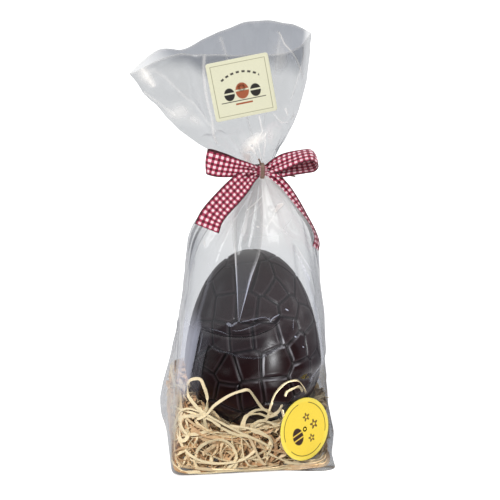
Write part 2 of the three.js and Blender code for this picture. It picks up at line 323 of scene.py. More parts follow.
# Stuck-on pieces: their turn in their own plane, and the way that plane faces and leans, in degrees.
LABEL = {
    "centre": (-4.6, -19.5, 263.4), "half": 20.2, "turn": 10.5, "facing": 0, "lean": -6, "margin": 4,
    "ease": 10,
}
STICKER = {"centre": (36.2, -41, 26.3), "half": 21.8, "turn": 12, "facing": 34, "lean": 12.5}
STUCK_ON = {"thickness": 0.5, "gap": 0.3, "round": 0.16, "calm": 8}
FLAT_CORNER = {"begins": (0, 3.7), "ends": (50, 82), "soft": 1.2}

EGG = {
    "centre": (5.2, 0.0, 62.0), "radius": 48.0, "above": 80.5, "below": 47.0, "taper": 0.13,
    "film_gap": 0.9, "film_soft": 0.6,
}
FILM_GRID = {"around": 310, "base": 6, "body": 206, "flare": 100, "denser_in_front": 0.42}


def axes_of(stuck):
    """Place, across, up and outwards of a stuck-on piece."""
    f, l, t = (math.radians(stuck[key]) for key in ("facing", "lean", "turn"))
    out = np.array([math.sin(f) * math.cos(l), -math.cos(f) * math.cos(l), math.sin(l)])
    level = np.array([math.cos(f), math.sin(f), 0.0])
    across = level * math.cos(t) + np.cross(out, level) * math.sin(t)
    return np.array(stuck["centre"], float), across, np.cross(out, across), out


def corner_reach(angle, height):
    """Each corner stands out by its reach, falling off as a bell round its angle and gone at its height."""
    total = 0.0
    for at, width, at_base, above, top in CORNERS:
        bell = np.exp(-(((np.degrees(angle) - at) / width) ** 2))
        out = mix(at_base, above, smoothstep(height, 0, CORNER_HEIGHTS["above"]))
        total = total + out * bell * (1 - smoothstep(height, CORNER_HEIGHTS["falls_from"], top))
    return total


def egg_radius(height):
    """Radius of the egg at a height: a half ellipse below its waist, a taller one above it, drawn in a little
    midway up."""
    up = height - EGG["centre"][2]
    share = np.clip(up / np.where(up > 0, EGG["above"], EGG["below"]), -1, 1)
    rise = np.maximum(share, 0)
    return EGG["radius"] * np.sqrt(1 - share**2) * (1 - EGG["taper"] * rise * (1 - rise))


def film_reach(angle, height):
    """How far the film stands from the bag's leaning middle line: a squared oval, pleated towards the neck,
    with its corners drawn out and one of them cut flat by the sticker's plane, and nowhere inside the egg.
    Gives the lean as well."""
    lean, width, depth, square = (along(BODY_STATIONS, height, column) for column in (1, 2, 3, 4))
    c, s = np.cos(angle), np.sin(angle)
    oval = (np.abs(c / width) ** square + np.abs(s / depth) ** square) ** (-1 / square)
    gathered = smoothstep(height, SHOULDER_PLEATS["from"], NECK["low"] - 10)
    pleat = np.cos(SHOULDER_PLEATS["count"] * angle + 2 * np.sin(2 * angle))
    reach = oval * (1 + SHOULDER_PLEATS["depth"] * gathered * pleat) + corner_reach(angle, height)
    origin, _, _, out = axes_of(STICKER)
    towards = out[0] * c + out[1] * s
    plane = (out @ origin - out[0] * lean - out[2] * height) / np.maximum(towards, 0.1)
    cut = (reach + plane - np.hypot(reach - plane, FLAT_CORNER["soft"])) / 2
    share = smoothstep(height, *FLAT_CORNER["begins"]) * (1 - smoothstep(height, *FLAT_CORNER["ends"]))
    reach = np.where(towards > 0.1, mix(reach, cut, share), reach)
    aside = lean - EGG["centre"][0]
    ring = egg_radius(height)
    over_egg = np.sqrt(np.maximum((ring + EGG["film_gap"]) ** 2 - (aside * s) ** 2, 0)) - aside * c
    held_off = (reach + over_egg + np.hypot(reach - over_egg, EGG["film_soft"])) / 2
    return np.where(ring > 10, held_off, reach), lean


def body_points(angle, height):
    """Points of the film below the neck, at its reach from the leaning middle line."""
    reach, lean = film_reach(angle, height)
    return np.stack([lean + reach * np.cos(angle), reach * np.sin(angle), height + 0 * angle], -1)


def flare_points(angle, share):
    """Each line of the film runs from the neck to its place on the mouth, `share` of the way up, spreading
    quickly at first, with a ruffle across it; the front is pressed flat under the label."""
    x, y, z = (along(MOUTH_STATIONS, np.degrees(angle) % 360, column) for column in (1, 2, 3))
    start = body_points(angle, np.full_like(angle, NECK["high"]))
    side = np.where(np.cos(angle) > 0, FLARE["right_spread"], mix(*FLARE["left_spread"], share))
    spread = 1 - np.maximum(1 - share, 0) ** mix(FLARE["spread"], side, np.cos(angle) ** 2)
    wave = np.cos(FLARE["pleats"] * angle + 3 * share) * np.abs(np.sin(angle))
    ruffle = FLARE["ruffle"] * share * (1 - 0.55 * share) * wave
    points = np.stack([mix(start[..., 0], x, spread), mix(start[..., 1], y, spread) + ruffle,
                       mix(NECK["high"], z, share)], -1)
    origin, across, up, out = axes_of(LABEL)
    offset = points - origin
    distance = np.maximum(np.abs(offset @ across), np.abs(offset @ up))
    flat_to = LABEL["half"] + LABEL["margin"]
    pressed = (1 - smoothstep(distance, flat_to, flat_to + LABEL["ease"])) * (np.sin(angle) < 0)
    return points - (offset @ out * pressed)[..., None] * out


def normals_of(points):
    """Outward normals of a grid that is closed round its columns."""
    round_it = np.roll(points, -1, axis=1) - np.roll(points, 1, axis=1)
    return unit(np.cross(round_it, np.gradient(points, axis=0)))


# Creases of the film, each as its route, half width and height of the tent-shaped fold, and its painted
# highlight.
# On the body a route is given by degrees and height, on the flare by degrees and share of the way up.
BODY_CREASES = [
    ([(222, 20), (221, 60), (225, 110), (232, 150)], 5.0, 0.8, 0.1),
    ([(137, 2), (136, 60), (132, 120)], 5.0, 1.0, 0.5),
    ([(318, 60), (313, 110), (306, 150)], 5.0, 0.8, 0.3),
    ([(48, 2), (48, 70), (50, 130)], 6.0, 0.9, 0.4),
    ([(285, 176), (296, 168), (312, 160)], 4.0, 1.0, 0.15),
    ([(262, 176), (280, 170), (292, 178)], 4.0, -0.8, 0.3),
    ([(306, 152), (311, 136)], 3.0, 0.9, 0.8),
]
FLARE_CREASES = [
    ([(238, 1.0), (230, 0.68), (224, 0.48), (207, 0.25)], 6.0, 1.4, 0.45),
    ([(62, 0.92), (54, 0.85), (44, 0.8), (32, 0.74), (16, 0.66)], 4.0, 1.6, 0.95),
    ([(192, 1.0), (192, 0.83)], 5.0, 1.0, 0.9),
    ([(351, 0.58), (353, 0.54)], 4.0, 0.8, 0.95),
    ([(313, 0.54), (318, 0.49)], 4.0, 0.8, 0.8),
    ([(331, 0.45), (339, 0.4)], 3.0, 0.8, 0.8),
    ([(283, 0.49), (286, 0.36), (280, 0.29)], 3.0, 0.9, 0.8),
    ([(196, 0.95), (206, 0.7), (222, 0.35)], 5.0, -1.2, 0.3),
    ([(338, 1.0), (330, 0.8), (318, 0.6)], 4.0, 1.0, 0.4),
    ([(184, 0.82), (192, 0.55)], 4.0, 1.0, 0.4),
    ([(276, 0.3), (279, 0.2), (282, 0.08)], 4.5, 0.9, 0.95),
    ([(262, 0.22), (268, 0.14), (276, 0.05)], 4.0, 0.9, 0.8),
    ([(290, 0.34), (290, 0.24), (288, 0.12)], 3.0, 0.7, 0.8),
    ([(300, 0.5), (312, 0.42), (326, 0.4)], 3.0, 0.9, 0.5),
    ([(120, 0.95), (112, 0.6), (100, 0.2)], 5.0, 1.2, 0.4),
    ([(60, 0.9), (64, 0.5), (80, 0.15)], 5.0, 1.0, 0.3),
]
# Glows on the flare: degrees, share of the way up, reach both ways and strength.
FLARE_GLOWS = [
    (196, 0.55, 9, 0.06, 0.4), (203, 0.46, 7, 0.05, 0.3), (57, 0.74, 9, 0.09, 0.4), (191, 0.93, 3, 0.07, 0.5),
    (300, 0.3, 10, 0.07, 0.25),
]
# The glare that winds up from the neck: the degrees it starts at and turns through, its width and strength,
# and the shares of the way up where it begins and ends.
NECK_GLARE = {
    "from": 242, "turns": 205, "width": 14, "strength": 0.95, "lowest": 0.12, "begins": (0.02, 0.08),
    "ends": (0.26, 0.4),
}
# Short random creases: their seed, how many there are, their length and half width, and their mean height.
# The film is charted flat at a radius for the body and for the flare.
RANDOM_CREASES = {
    "seed": 5, "body": 90, "flare": 60, "length": (8, 34), "half_width": (3, 9), "body_rise": 0.45,
    "flare_rise": 0.5,
}
CHART = {"body_radius": 50, "flare_radius": 40, "flare_run": 92}
# Waves of the film: height of each and the distance over which it changes. Gathers run up to the neck.
FILM_WAVES = {"body": [(0.5, 26), (0.22, 9)], "flare": [(0.9, 30), (0.3, 10)]}
GATHERS = {"count": 23, "depth": 0.5, "begins": (150, 192), "ends": (196, 199)}
# Where the film is greyed by painted shade: degrees, width in degrees, how much, and the heights where that
# ends.
PAINTED_SHADE_SIDES = [(194, 17, 0.32, (150, 175)), (342, 14, 0.32, (60, 110))]

# Creases of the front panel over the egg, by x and height.
FRONT_CREASES = [
    ([(-34, 106), (-27, 105), (-20, 103), (-9, 102), (-0.5, 102), (6, 104), (12, 106.5), (18, 111)], 2.4,
     -0.35, 0.0),
    ([(-8.5, 111.5), (-0.5, 113), (6, 114), (11.5, 113.5)], 1.8, 0.3, 0.15),
    ([(15, 180), (20, 181), (23.5, 182.5), (21.5, 178.5)], 2.4, 0.8, 0.5),
    ([(6.5, 185.5), (12, 182), (18, 178)], 1.8, 0.8, 0.2),
]

# Tight folds and painted highlight specks of the front panel, by x and height: width, how much painted
# highlight, how much painted shade and the route.
FOLD_STRIPS = {"along": 40, "across": 4, "lift": 1.4, "end": 0.06, "blunt": 0.6}
FINE_FOLDS = [
    (0.7, 0.0, 1.0, [(-34, 106.5), (-27, 104.5), (-20, 102.8), (-9, 101.6), (-0.5, 102), (6, 103.8),
                     (12, 106.3), (18, 111)]),
    (0.5, 0.0, 0.9, [(-33, 107.5), (-26, 106.8), (-19, 105), (-12, 103.6), (-2, 104), (6, 106.5)]),
    (0.5, 0.22, 0.0, [(-14, 106.2), (-9, 106), (-1, 108.2), (5, 110.5)]),
    (0.5, 0.3, 0.0, [(-8.5, 111.8), (-0.5, 113.3), (6, 114.3), (11.5, 113.5)]),
    (0.5, 0.0, 0.9, [(-8, 110.8), (0, 112), (7, 112.8), (11, 112)]),
    (0.5, 0.2, 0.0, [(-30, 107.8), (-22, 105.8), (-17, 103.8)]),
    (0.8, 0.5, 0.0, [(11.5, 111), (13, 113.5), (17.5, 116)]),
    (0.6, 0.3, 0.0, [(9.5, 114), (12, 111.5)]),
    (2.4, 0.3, 0.0, [(-17.5, 111.5), (-14.5, 109.5)]),
    (1.2, 0.3, 0.0, [(-15, 109), (-10.5, 112)]),
    (0.8, 0.9, 0.0, [(21.5, 119.6), (23.5, 118.2)]),
    (1.0, 0.9, 0.0, [(27.6, 100.4), (28.8, 99.6)]),
    (0.9, 0.7, 0.0, [(33, 92.8), (34, 91.8)]),
    (0.5, 0.25, 0.0, [(26.8, 112.5), (26.6, 104.5)]),
    (0.7, 0.0, 1.0, [(-34.2, 106), (-35.8, 98), (-37.2, 91), (-40.6, 75)]),
    (0.9, 0.0, 1.0, [(-29.5, 96.5), (-32.6, 85), (-34.4, 74)]),
    (0.5, 0.2, 0.0, [(-33.2, 104), (-34.5, 97), (-36.2, 89)]),
    (1.4, 0.05, 0.0, [(-29.2, 97), (-24.7, 93), (-16.8, 90.9), (-8.2, 87.7), (3.2, 86.5), (11.2, 89.6),
                      (16.6, 93.6)]),
    (0.6, 0.9, 0.0, [(30.5, 158), (35, 150), (40, 142)]),
    (0.6, 0.9, 0.0, [(-30.5, 161), (-29.3, 157.5)]),
    (0.8, 0.8, 0.0, [(-28.6, 149), (-27.8, 147.6)]),
    (0.5, 0.25, 0.0, [(-11.6, 158), (-11.4, 168), (-10.6, 178)]),
    (0.5, 0.25, 0.0, [(-9.4, 158), (-9.2, 168), (-8.6, 176)]),
    (0.9, 0.8, 0.0, [(4, 172), (6, 171)]),
    (2.6, 1.0, 0.0, [(17, 179.4), (20, 180.8), (23.4, 182.4)]),
    (0.6, 0.6, 0.0, [(-3, 178), (4, 184), (10, 188)]),
    (0.5, 0.5, 0.0, [(-1, 176), (6, 182), (13, 186.5)]),
]

# The edges of the clear part of the front panel, which clings to the egg: its upper edge by x and height, and
# its two left edges and its right one by height and x.
CLING = {
    "top": [
        (-34, 101), (-29, 97), (-24.5, 93), (-17, 91), (-8, 88), (3, 86.5), (11, 89.5), (17, 94), (25, 98),
        (32, 90),
    ],
    "outer_left": [(60, -44), (75, -40.5), (91, -37), (106, -34), (120, -34)],
    "inner_left": [(60, -37), (75, -34.5), (85, -32.5), (97, -29), (110, -28)],
    "right": [(55, 40), (70, 37), (90, 31), (105, 27)],
}
# Painted haze on the front panel, standing in for the light that it reflects: how dense it is in each part,
# the heights where the parts change, and how softly.
PAINTED_HAZE_PARTS = {
    "slack": 0.021, "left": 0.33, "between": 0.05, "clear": 0.0, "low_front": 0.004, "elsewhere": 0.03,
    "low_ends": (60, 75), "begins": (52, 62), "clear_ends": (106, 112), "left_ends": (96, 122),
    "ends": (148, 160), "top_soft": 1.6, "side_soft": 0.8, "right_soft": 3,
}
# Painted haze over the shoulder: its least and extra density, the x and reach of its middle, and the heights
# where it begins and ends.
PAINTED_SHOULDER_HAZE = {"least": 0.14, "more": 0.2, "x": 8, "reach": 20, "begins": (150, 176), "ends": (200, 204)}
# Points behind the front panel are set this far off in x, so that what is drawn on it doesn't show there.
BEHIND = {"from_y": -20, "x": 1000}


def painted_film_haze(panel):
    """How much painted haze, standing in for reflected light, the front panel has by x and height: none where
    it clings to the egg, some where it hangs slack, most to the left of the fold beside the egg and over the
    shoulder."""
    x, height = panel[..., 0], panel[..., 1]
    in_front = x < BEHIND["x"] / 2
    top, outer, inner, right = (np.array(CLING[key]) for key in ("top", "outer_left", "inner_left", "right"))
    soft, side, right_side = PAINTED_HAZE_PARTS["top_soft"], PAINTED_HAZE_PARTS["side_soft"], PAINTED_HAZE_PARTS["right_soft"]
    under = 1 - smoothstep(height - np.interp(x, *top.T), -soft, soft)
    past_outer = smoothstep(x - np.interp(height, *outer.T), -side, side)
    past_inner = smoothstep(x - np.interp(height, *inner.T), -side, side)
    past_right = smoothstep(x - np.interp(height, *right.T), -right_side, right_side)
    clear = mix(PAINTED_HAZE_PARTS["clear"], PAINTED_HAZE_PARTS["slack"], past_right)
    inside = mix(PAINTED_HAZE_PARTS["between"], mix(PAINTED_HAZE_PARTS["slack"], clear, under), past_inner)
    inside = mix(PAINTED_HAZE_PARTS["slack"], inside, 1 - smoothstep(height, *PAINTED_HAZE_PARTS["clear_ends"]))
    left = mix(PAINTED_HAZE_PARTS["left"], PAINTED_HAZE_PARTS["slack"], smoothstep(height, *PAINTED_HAZE_PARTS["left_ends"]))
    over_egg = smoothstep(height, *PAINTED_HAZE_PARTS["begins"]) * (1 - smoothstep(height, *PAINTED_HAZE_PARTS["ends"])) * in_front
    low_front = in_front * (1 - smoothstep(height, *PAINTED_HAZE_PARTS["low_ends"]))
    around = mix(PAINTED_HAZE_PARTS["elsewhere"], PAINTED_HAZE_PARTS["low_front"], low_front)
    aside = np.where(in_front, x, x - BEHIND["x"]) - PAINTED_SHOULDER_HAZE["x"]
    middle = np.exp(-((aside / PAINTED_SHOULDER_HAZE["reach"]) ** 2))
    shoulder = PAINTED_SHOULDER_HAZE["least"] + PAINTED_SHOULDER_HAZE["more"] * middle
    shoulder *= smoothstep(height, *PAINTED_SHOULDER_HAZE["begins"])
    shoulder *= 1 - smoothstep(height, *PAINTED_SHOULDER_HAZE["ends"])
    return mix(around, mix(left, inside, past_outer), over_egg) + shoulder


def tent(place, route, half_width):
    """1 on the route, falling straight to 0 at the half width and fading out past the route's ends."""
    route = np.array(route, float)
    best = np.full(place.shape[:-1], np.inf)
    for start, end in zip(route[:-1], route[1:]):
        step = end - start
        t = np.clip((place - start) @ step / (step @ step), 0, 1)
        best = np.minimum(best, np.linalg.norm(place - start - t[..., None] * step, axis=-1))
    return np.maximum(1 - best / half_width, 0)


def creased(place, listed, scale, count=0, random=None, spread=0.0):
    """Height and painted highlight of the listed creases, and height of short random ones, over a flat chart
    of the film.
    """
    height, white = np.zeros(place.shape[:-1]), np.zeros(place.shape[:-1])
    for route, half_width, rise, painted_highlight_share in listed:
        ridge = tent(place, np.array(route) * scale, half_width)
        height += rise * ridge
        white = np.maximum(white, painted_highlight_share * smoothstep(ridge, 0.72, 1))
    low, high = place.min((0, 1)), place.max((0, 1))
    for _ in range(count):
        start = random.uniform(low, high)
        turn = random.uniform(0, math.pi)
        reach = random.uniform(*RANDOM_CREASES["length"])
        end = start + reach * np.array([math.cos(turn), math.sin(turn)])
        rise, half_width = random.normal(0, spread), random.uniform(*RANDOM_CREASES["half_width"])
        height += rise * tent(place, [start, end], half_width)
    return height, white


def waves(points, listed):
    """Slow unevenness of the film: smooth noise of each listed height and scale, summed."""
    return sum(height * noise(points, scale) for height, scale in listed)


def past(coordinate, edge):
    """0 up to an edge of a stuck-on piece and 1 clear of it, so that the film lies flat under the piece."""
    return smoothstep(coordinate, edge, edge + STUCK_ON["calm"])


def film_body(angle, random):
    """The film below the neck: its reach at each angle and height, with creases, gathers and slow waves added
    along its normals, which die out at the foot, at the neck and under the sticker. Gives its points and how
    much painted highlight, painted shade and painted haze each carries."""
    height = np.linspace(0, NECK["high"], FILM_GRID["body"])[:, None]
    angles, heights = angle + 0 * height, height + 0 * angle
    body = body_points(angles, heights)
    radius = CHART["body_radius"]
    chart = np.stack([angles * radius, heights], -1)
    rise, white = creased(chart, BODY_CREASES, (math.radians(radius), 1), RANDOM_CREASES["body"], random,
                          RANDOM_CREASES["body_rise"])
    panel = np.stack([body[..., 0] + BEHIND["x"] * (body[..., 1] > BEHIND["from_y"]), body[..., 2]], -1)
    folded, bright = creased(panel, FRONT_CREASES, (1, 1))
    rise, white = rise + folded, np.maximum(white, bright)
    gathers = smoothstep(height, *GATHERS["begins"]) * (1 - smoothstep(height, *GATHERS["ends"]))
    fine = np.abs(((angles * GATHERS["count"] / math.pi + 0.6 * np.sin(5 * angles)) % 2) - 1) - 0.5
    rise = rise + GATHERS["depth"] * gathers * fine * (film_reach(angles, heights)[0] / 20)
    rise = rise + waves(body, FILM_WAVES["body"])
    calm = smoothstep(height, 0, 8) * (1 - smoothstep(height, NECK["low"] - 5.5, NECK["low"] - 1.5))
    origin, _, _, out = axes_of(STICKER)
    offset = body - origin
    outwards = offset @ out
    near = np.linalg.norm(offset - outwards[..., None] * out, axis=-1)
    calm = calm * np.where(np.abs(outwards) < 12, past(near, STICKER["half"]), 1)
    turn = np.degrees(angle) % 360
    painted_shade = sum(share * np.exp(-(((turn - at) / width) ** 2)) * (1 - smoothstep(height, *ends))
                  for at, width, share, ends in PAINTED_SHADE_SIDES)
    return body + normals_of(body) * (rise * calm)[..., None], (white, painted_shade, painted_film_haze(panel))


def film_flare(angle, random):
    """The film above the neck, creased and waved in the same way, flat under the label. It carries painted
    shade where it folds back behind, a painted highlight at its cut edge, and painted haze where light glares
    from it. Gives its points and how much painted highlight, painted shade and painted haze each carries."""
    share = np.linspace(0, 1, FILM_GRID["flare"] + 1)[1:, None]
    angles = angle + 0 * share
    flare = flare_points(angles, share + 0 * angle)
    radius, run = CHART["flare_radius"], CHART["flare_run"]
    chart = np.stack([angles * radius, share * run + 0 * angle], -1)
    rise, white = creased(chart, FLARE_CREASES, (math.radians(radius), run), RANDOM_CREASES["flare"], random,
                          RANDOM_CREASES["flare_rise"])
    rise = rise + waves(flare, FILM_WAVES["flare"])
    origin, across, up, _ = axes_of(LABEL)
    offset = flare - origin
    near = np.maximum(np.abs(offset @ across), np.abs(offset @ up))
    calm = smoothstep(share, 0, FLARE["calm"]) * np.where(np.sin(angles) < 0, past(near, LABEL["half"]), 1)
    flare = flare + normals_of(flare) * (rise * calm)[..., None]
    # Painted highlight along the cut edge.
    white = np.maximum(white, 0.35 * smoothstep(share, 0.98, 1.0))
    # Painted shade greys the top of the back panel.
    leftwards = smoothstep(-np.cos(angles), 0.7, 0.9)
    painted_shade = 0.5 * smoothstep(np.sin(angles), 0.1, 0.4) * smoothstep(share - 0.2 * leftwards, 0.6, 0.78)
    winding = np.degrees(angles) - NECK_GLARE["from"] - NECK_GLARE["turns"] * (share - NECK_GLARE["lowest"])
    glare = np.exp(-((winding / NECK_GLARE["width"]) ** 2)) * smoothstep(share, *NECK_GLARE["begins"])
    patchy = smoothstep(noise(flare, 3), -0.9, -0.2)
    glare = NECK_GLARE["strength"] * glare * (1 - smoothstep(share, *NECK_GLARE["ends"])) * patchy
    for at, up, across, upright, strength in FLARE_GLOWS:
        bell = np.exp(-(((np.degrees(angles) % 360 - at) / across) ** 2) - ((share - up) / upright) ** 2)
        glare = np.maximum(glare, strength * bell)
    return flare, (white, painted_shade, glare)


def film_bag():
    """Base, body and flare in one grid: the same surface as the bag's solid, with creases and crinkles added
    along its normals. The base closes at a pole and the mouth stays open."""
    random = np.random.default_rng(RANDOM_CREASES["seed"])
    angle = np.linspace(0, 2 * math.pi, FILM_GRID["around"], endpoint=False)[None, :]
    angle = angle - FILM_GRID["denser_in_front"] * np.cos(angle)
    body, body_values = film_body(angle, random)
    flare, flare_values = film_flare(angle, random)
    shrink = np.linspace(0, 1, FILM_GRID["base"], endpoint=False)[1:, None, None]
    middle = np.array([0.0, 0.0, 0.35])
    base = mix(middle, body[:1], shrink)
    points = np.concatenate([base, body, flare])
    values = {
        title: np.append(np.concatenate([np.zeros(base.shape[:2]), below_neck, above_neck]), 0)
        for title, below_neck, above_neck in zip(("fold", "painted_shade", "painted_haze"), body_values, flare_values)
    }
    rows, columns = points.shape[:2]
    return piece(
        "film_bag_clear",
        np.concatenate([points.reshape(-1, 3), middle[None]]),
        grid_faces(rows, columns, True),
        fan(np.arange(columns), rows * columns, False),
        values=values,
        material=clear_film(),
        node_names=["film_bag"],
    )


# The edges of the flat pleat in the front panel, as x by height, from its tip upwards; how far it stands
# off the panel at its left edge, how much more at its right one, and its bulge and waves.
DART = {
    "left": [(-9.8, 112), (-10.3, 133), (-10.9, 154), (-10.7, 166), (-9.9, 177), (-5, 190), (5, 197)],
    "right": [(-9.2, 112), (-4.7, 127.5), (-0.2, 142.5), (6.1, 157.5), (9, 174), (9.5, 190), (10, 197)],
    "along": 60, "across": 15, "lift": 0.5, "tilt": 0.4, "bulge": 0.2, "wave": (0.3, 11), "painted_haze": 0.05,
}
FRONT_PANEL = {"guess_y": -45.0, "rounds": 6}


def front_points(x, height):
    """Points of the front panel at the given x and height, found by following the film's reach round from a
    first guess at its front."""
    lean = along(BODY_STATIONS, height, 1)
    angle = np.arctan2(FRONT_PANEL["guess_y"], x - lean) % (2 * math.pi)
    for _ in range(FRONT_PANEL["rounds"]):
        reach, lean = film_reach(angle, height)
        angle = np.arctan2(reach * np.sin(angle), x - lean) % (2 * math.pi)
    reach, lean = film_reach(angle, height)
    return np.stack([lean + reach * np.cos(angle), reach * np.sin(angle), height], -1)


def film_dart():
    """The flat pleat in the front of the film, a narrow triangle pointing down, a hair outside the panel. Its
    two edges are folds with a painted highlight, fainter above the egg, and it has a little painted haze."""
    t = np.linspace(0, 1, DART["along"])[:, None]
    s = np.linspace(0, 1, DART["across"])[None, :]
    left, right = curve(DART["left"], t[:, 0]), curve(DART["right"], t[:, 0])
    x = mix(left[:, :1], right[:, :1], s)
    height = mix(left[:, 1:], right[:, 1:], s)
    points = front_points(x, height)
    bulge = DART["bulge"] * np.sin(math.pi * s) * t * (1 - smoothstep(t, 0.7, 1))
    points[..., 1] -= DART["lift"] + bulge + DART["tilt"] * s + waves(points, [DART["wave"]])
    edge = np.maximum(smoothstep(s, 0.86, 1), 1 - smoothstep(s, 0, 0.14))
    edge = edge * (1 - 0.72 * smoothstep(t, 0.3, 0.46))
    return piece(
        "film_pleat_clear",
        points.reshape(-1, 3),
        grid_faces(*points.shape[:2], False),
        values={"fold": edge.ravel(), "painted_shade": 0 * edge.ravel(), "painted_haze": DART["painted_haze"] + 0 * edge.ravel()},
        material=bpy.data.materials["clear polypropylene film"],
    )


def film_folds():
    """Tight folds of the front panel as narrow ribbons of film along their routes, drawn to a blunt point at
    both ends, a hair outside the panel. Each carries its listed painted highlight and painted shade."""
    t = np.linspace(0, 1, FOLD_STRIPS["along"])
    s = np.linspace(-0.5, 0.5, FOLD_STRIPS["across"])[None, :, None]
    end = FOLD_STRIPS["end"]
    strips = []
    for width, _, _, route in FINE_FOLDS:
        line = curve(route, t)
        way = unit(np.gradient(line, axis=0))
        side = np.stack([-way[:, 1], way[:, 0]], -1)[:, None]
        taper = (width * np.sin(math.pi * mix(end, 1 - end, t)) ** FOLD_STRIPS["blunt"])[:, None, None]
        flat = line[:, None] + side * taper * s
        strips.append(front_points(flat[..., 0], flat[..., 1]))
    points = np.stack(strips)
    points[..., 1] -= FOLD_STRIPS["lift"]
    size = points.shape[1] * points.shape[2]
    faces = grid_faces(*points.shape[1:3], False)[:, ::-1]
    quads = (faces[None] + size * np.arange(len(strips))[:, None, None]).reshape(-1, 4)
    white, dark = (np.repeat([row[column] for row in FINE_FOLDS], size) for column in (1, 2))
    return piece(
        "film_folds_clear", points.reshape(-1, 3), quads,
        values={"fold": white, "painted_shade": dark, "painted_haze": 0 * white},
        material=bpy.data.materials["clear polypropylene film"],
    )


# ---------------------------------------------------------------------------------------------------------
# The chocolate egg
# ---------------------------------------------------------------------------------------------------------

EGG_GRID = {"around": 410, "rows": 238, "denser_in_front": 0.42}

# The moulded plates: how many are spread evenly and how they scatter; how near a listed one they may come;
# the groove between them, its lip and their crowns; and how their borders wander.
PLATES = {
    "count": 92, "seed": 3, "scatter": (0.05, 0.09), "apart": 15.5, "groove": 0.85, "depth": 0.9,
    "lip": 0.22, "lip_at": 1.9, "lip_width": 0.6, "crown": 0.35, "crown_width": 4.0, "wander": (1.1, 16),
    "uneven": (0.08, 16),
}

# Places where painted glints, standing in for light caught on them, make the lips of the grooves pale:
# degrees from the front, height, reach across and up, and how pale; and the side that their light comes from.
PAINTED_GLINTS = [
    (1.5, 80, 3, 10, 1.0), (21, 91, 4, 4, 1.0), (13, 88, 5, 2.5, 0.6), (18, 99, 3, 7, 0.4),
    (27, 84, 4, 5, 0.5), (33, 76, 3, 5, 0.6), (14, 68, 14, 2.5, 0.3), (-1, 64, 3, 5, 0.4),
    (-18, 78, 4, 8, 0.2), (40, 92, 4, 5, 0.3),
]
PAINTED_GLINTS_LIT_FROM = (1.0, 0.0, -0.8)

# Middles of the plates on the front of the egg: degrees from the front, to the right, and height.
FRONT_PLATES = [
    (13.5, 79), (-11.5, 78.5), (-28, 74), (-43, 80), (6, 98), (-19, 97), (-37, 95), (29, 101), (40, 85),
    (40, 68), (12, 58), (-8, 56), (-27, 55), (-48, 60), (-56, 91), (-38, 115), (-50, 128), (-67, 112),
    (8, 131), (-12, 116), (27, 124), (50, 127), (9, 114), (36, 112), (55, 102), (-18, 133), (58, 84),
    (62, 66),
]


def egg_shape(azimuth, polar):
    """Points of the egg. polar runs from 0 at the bottom to pi at the top; azimuth is from the front, to the
    right."""
    tall = np.where(polar < math.pi / 2, EGG["below"], EGG["above"])
    ring = egg_radius(EGG["centre"][2] - tall * np.cos(polar))
    offset = np.stack([ring * np.sin(azimuth), -ring * np.cos(azimuth), -tall * np.cos(polar)], -1)
    return np.array(EGG["centre"]) + offset


def plate_middles():
    """The front plates as listed, and the rest spread evenly over the egg on a spiral, a little scattered,
    where they keep clear of the listed ones."""
    random = np.random.default_rng(PLATES["seed"])
    azimuth, height = np.array(FRONT_PLATES, float).T
    rise = (height - EGG["centre"][2]) / np.where(height > EGG["centre"][2], EGG["above"], EGG["below"])
    front = egg_shape(np.radians(azimuth), np.arccos(-rise))
    k = np.arange(PLATES["count"])
    up, round_it = PLATES["scatter"]
    polar = np.arccos(1 - 2 * (k + 0.5) / PLATES["count"]) + random.normal(0, up, len(k))
    turn = k * math.pi * (3 - math.sqrt(5)) + random.normal(0, round_it, len(k))
    rest = egg_shape(turn, np.clip(polar, 0, math.pi))
    clear = np.linalg.norm(rest[:, None] - front[None], axis=-1).min(1) > PLATES["apart"]
    return np.concatenate([front, rest[clear]])


def plate_borders(places):
    """How far each place is from the border between its two nearest plates, once the places are shifted a
    little so that the borders wander, and how much that border's near side faces the light of the painted
    glints."""
    middles = plate_middles()
    far, scale = PLATES["wander"]
    wander = far * np.stack([noise(places, scale, shift) for shift in (0.3, 5.7, 9.1)], -1)
    apart = np.linalg.norm((places + wander)[:, None] - middles[None], axis=-1)
    nearest = np.argpartition(apart, 1, axis=1)[:, :2]
    distances = np.take_along_axis(apart, nearest, 1)
    first, second = np.sort(distances, axis=1).T
    step = middles[nearest[:, 0]] - middles[nearest[:, 1]]
    border = (second**2 - first**2) / (2 * np.maximum(np.linalg.norm(step, axis=-1), 1e-6))
    facing = step @ np.array(PAINTED_GLINTS_LIT_FROM)
    return border, np.where(distances[:, 0] <= distances[:, 1], facing, -facing)


def painted_glint_places(azimuth, height):
    """How pale the painted glints make the lips: the strongest of the listed bells at each azimuth and
    height.
    """
    painted_glint = np.zeros(height.shape)
    for at, middle, across, upright, pale in PAINTED_GLINTS:
        turn = (np.degrees(azimuth) - at + 180) % 360 - 180
        aside = np.radians(turn) * EGG["radius"]
        bell = np.exp(-((aside / across) ** 2) - ((height - middle) / upright) ** 2)
        painted_glint = np.maximum(painted_glint, pale * bell)
    return painted_glint


